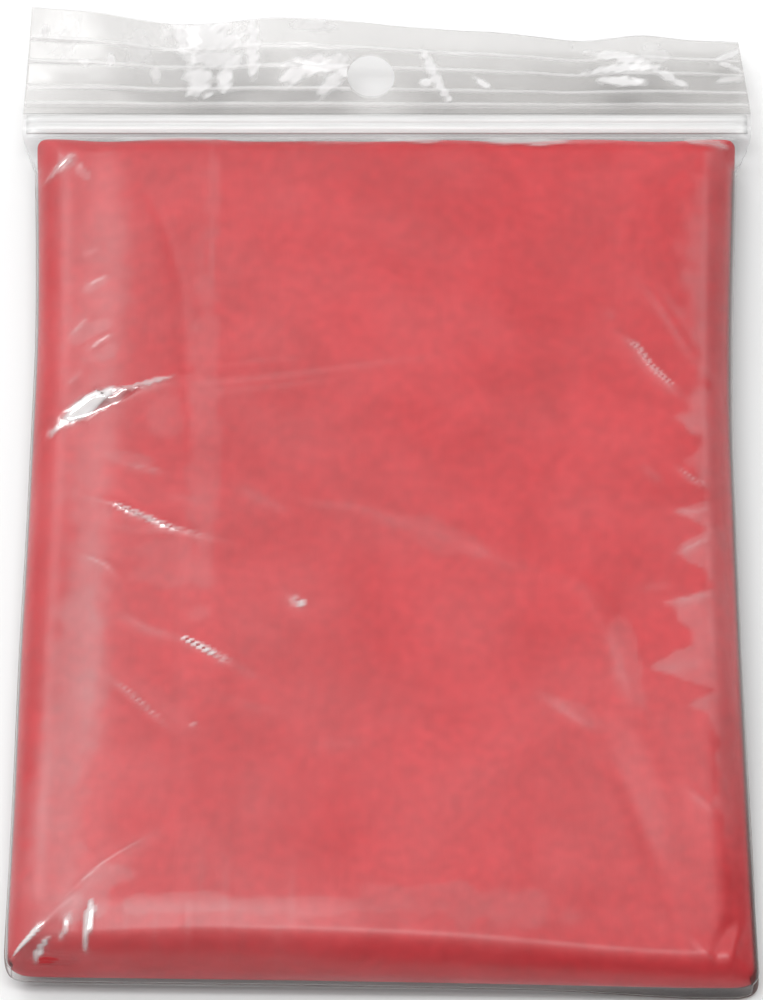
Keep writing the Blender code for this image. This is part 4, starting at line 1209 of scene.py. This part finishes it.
def cut_away(context, piece, punch):
    """Cut a solid out of a piece and keep the result as the piece's mesh."""
    cut = piece.modifiers.new("hang_hole", "BOOLEAN")
    cut.operation = "DIFFERENCE"
    cut.solver = "EXACT"
    cut.object = punch
    context.view_layer.update()
    cut_mesh = bpy.data.meshes.new_from_object(piece.evaluated_get(context.evaluated_depsgraph_get()))
    piece.modifiers.clear()
    piece.data = cut_mesh


class PONCHO_OT_header(bpy.types.Operator):
    """Add the two films above the zip, with grip ribs and the hang hole."""

    bl_idname = "poncho.header"
    bl_label = "Bag, Header"

    def execute(self, context):
        sizes = all_sizes(context)
        finish = context.scene.poncho_finish
        material = film_material(finish, "clear_polythene_header", finish.header, 0.30)
        bpy.ops.mesh.primitive_cylinder_add(
            vertices=96, radius=sizes["hole_radius"] * MM, depth=0.04,
            location=(sizes["hole_x"] * MM, sizes["hole_y"] * MM, sizes["zip_z"] * MM))
        punch = context.object
        for name, side, seed in (("bag_header_front", 1, 41), ("bag_header_back", -1, 42)):
            y = np.linspace(sizes["zip_high_y"], sizes["top_y"], 76)[:, None]
            place = np.linspace(-1.0, 1.0, 280)[None, :]
            rise = np.clip((y - sizes["zip_high_y"]) / (sizes["top_y"] - sizes["zip_high_y"]), 0.0, 1.0)
            half = sizes["half_width"] + (sizes["top_half_width"] - sizes["half_width"]) * rise
            x = place * half
            height = header_height(sizes, x, y)
            loose = ease(rise * 3.0)
            height = height + loose * (0.15 * ripple(x, y, 13.0, seed) + 0.012 * ripple(x, y, 3.0, seed + 2))
            height = height + side * (0.14 + 0.5 * (1.0 - loose))
            glare = patch_field(GLARES, x, y, 2.2, seed + 4, GLARE_EDGE)
            height = height + side * glare * 0.02 * ripple(x, y, 1.8, seed + 6)
            # painted glare: the glare patches are laid on as white haze
            haze = HEADER_HAZE + 0.6 * glare
            for offset in RIB_OFFSETS:
                far = (y - sizes["zip_high_y"] - offset) / (sizes["rib_width"] / 2)
                height = height + side * sizes["rib_height"] * np.exp(-far ** 2)
                haze = haze + 0.26 * np.exp(-far ** 2)
            points = np.stack([x, y + x * 0.0, height], axis=2)
            outside, normals = turn_out(points, x * 0.0, like_top=side > 0)
            inside = outside - normals * sizes["film"]
            ply = add_shell(name, outside, inside, x, y + x * 0.0, material, "bag_header_film",
                            haze=haze, gloss=x * 0.0, seal=x * 0.0)
            cut_away(context, ply, punch)
        bpy.data.objects.remove(punch, do_unlink=True)
        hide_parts("bag_header")
        return {"FINISHED"}


class PONCHO_OT_zip(bpy.types.Operator):
    """Add the two closed halves of the press-to-close zip."""

    bl_idname = "poncho.zip"
    bl_label = "Zip"

    def execute(self, context):
        sizes = all_sizes(context)
        material = zip_material(context.scene.poncho_finish)
        profile = np.array(ZIP_PROFILE)
        for name, side, node in (("zip_front", 1, "zip_track_front"), ("zip_back", -1, "zip_track_back")):
            x = np.linspace(-1.0, 1.0, 120)[None, :] * (sizes["half_width"] - 0.6)
            y = sizes["zip_low_y"] + profile[:, :1]
            tall = 0.1 + profile[:, 1:2] * (1.0 - ease((np.abs(x) - sizes["half_width"] + 3.0) / 2.4) * 0.7)
            far = np.stack([x + y * 0.0, y + x * 0.0, sizes["zip_z"] + side * tall], axis=2)
            near = far.copy()
            near[..., 2] = sizes["zip_z"] + side * 0.03
            half = add_shell(name, far, near, far[..., 0], far[..., 1], material, "zip_plastic")
            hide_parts(node)
        return {"FINISHED"}


def area_light(name, place, aim, size, size_y, watts):
    """A softbox at a place, facing a point."""
    data = bpy.data.lights.new(name, "AREA")
    data.shape = "RECTANGLE"
    data.size, data.size_y = size, size_y
    data.energy = watts
    light = bpy.data.objects.new(name, data)
    light.location = place
    back = (Vector(place) - Vector(aim)).normalized()
    up = back.cross(Vector((1.0, 0.0, 0.0))).normalized()
    light.rotation_euler = Matrix((up.cross(back), up, back)).transposed().to_euler()
    bpy.context.scene.collection.objects.link(light)
    return light


class PONCHO_OT_stage(bpy.types.Operator):
    """Add the pale floor, the soft studio lights and the camera."""

    bl_idname = "poncho.stage"
    bl_label = "Stage"

    def execute(self, context):
        scene = context.scene
        stage = scene.poncho_stage
        aim = Vector((stage.aim_x, stage.aim_y, stage.aim_z))
        away = Vector((0.0, -math.sin(stage.tilt), math.cos(stage.tilt)))
        camera_data = bpy.data.cameras.new("camera")
        camera_data.sensor_width = 36.0
        camera_data.lens = stage.lens
        camera_data.clip_start = 0.01
        camera = bpy.data.objects.new("camera", camera_data)
        camera.location = aim + away * stage.distance
        camera.rotation_euler = (-away).to_track_quat("-Z", "Y").to_euler()
        scene.collection.objects.link(camera)
        scene.camera = camera
        bpy.ops.mesh.primitive_plane_add(size=6.0, location=(0.0, 0.0, -0.00005))
        floor = context.object
        floor.name = "floor"
        floor.data.materials.append(floor_material(scene.poncho_finish))
        area_light("key_light", (-0.06, -0.07, 1.12), (0.0, 0.0, 0.0), 0.66, 0.2, stage.key_watts)
        area_light("left_light", (-0.44, 0.42, 0.75), (0.0, 0.0, 0.0), 0.4, 0.4, stage.left_watts)
        area_light("right_light", (0.62, 0.52, 0.75), (0.0, 0.0, 0.0), 0.35, 0.35, stage.right_watts)
        world = bpy.data.worlds.new("room")
        world.use_nodes = True
        tree = world.node_tree
        direction = tree.nodes.new("ShaderNodeTexCoord")
        towards = tree.nodes.new("ShaderNodeVectorMath")
        towards.operation = "DOT_PRODUCT"
        towards.inputs[1].default_value = Vector(ROOM_LIGHT_FROM).normalized()
        glow = tree.nodes.new("ShaderNodeMapRange")
        glow.interpolation_type = "SMOOTHSTEP"
        for index, value in ((1, 0.25), (2, 0.9), (3, stage.room_dark), (4, stage.room)):
            glow.inputs[index].default_value = value
        tree.links.new(direction.outputs["Generated"], towards.inputs[0])
        tree.links.new(towards.outputs["Value"], glow.inputs[0])
        background = tree.nodes["Background"]
        background.inputs["Color"].default_value = (1.0, 1.0, 1.0, 1.0)
        tree.links.new(glow.outputs[0], background.inputs["Strength"])
        scene.world = world
        scene.view_settings.view_transform = "Standard"
        scene.cycles.transparent_max_bounces = 8
        scene.cycles.max_bounces = 2
        scene.cycles.diffuse_bounces = 1
        scene.cycles.glossy_bounces = 1
        return {"FINISHED"}


class PONCHO_PT_panel(bpy.types.Panel):
    """Lists the poncho's sizes, colours and pieces."""

    bl_label = "Folded Rain Poncho"
    bl_idname = "PONCHO_PT_panel"
    bl_space_type = "VIEW_3D"
    bl_region_type = "UI"
    bl_category = "Poncho"

    def draw(self, context):
        layout = self.layout
        for group in GROUPS:
            box = layout.box()
            box.label(text=group.replace("poncho_", "").capitalize())
            settings = getattr(context.scene, group)
            for name in settings.__annotations__:
                box.prop(settings, name)
        for operator in OPERATORS:
            layout.operator(operator.bl_idname)


GROUPS = {
    "poncho_packet": PONCHO_PG_packet,
    "poncho_bag": PONCHO_PG_bag,
    "poncho_finish": PONCHO_PG_finish,
    "poncho_stage": PONCHO_PG_stage,
}
OPERATORS = (
    PONCHO_OT_outer_ply,
    PONCHO_OT_folds,
    PONCHO_OT_bag_front,
    PONCHO_OT_bag_back,
    PONCHO_OT_header,
    PONCHO_OT_zip,
    PONCHO_OT_stage,
)


def register():
    for group in (*GROUPS.values(), *OPERATORS, PONCHO_PT_panel):
        bpy.utils.register_class(group)
    for name, group in GROUPS.items():
        setattr(bpy.types.Scene, name, PointerProperty(type=group))


def unregister():
    for name in GROUPS:
        delattr(bpy.types.Scene, name)
    for group in (PONCHO_PT_panel, *reversed(OPERATORS), *GROUPS.values()):
        bpy.utils.unregister_class(group)


def main():
    register()
    bpy.ops.poncho.outer_ply()
    bpy.ops.poncho.folds()
    bpy.ops.poncho.bag_front()
    bpy.ops.poncho.bag_back()
    bpy.ops.poncho.header()
    bpy.ops.poncho.zip()
    bpy.ops.poncho.stage()
    bpy.context.view_layer.update()


if __name__ == "__main__":
    main()
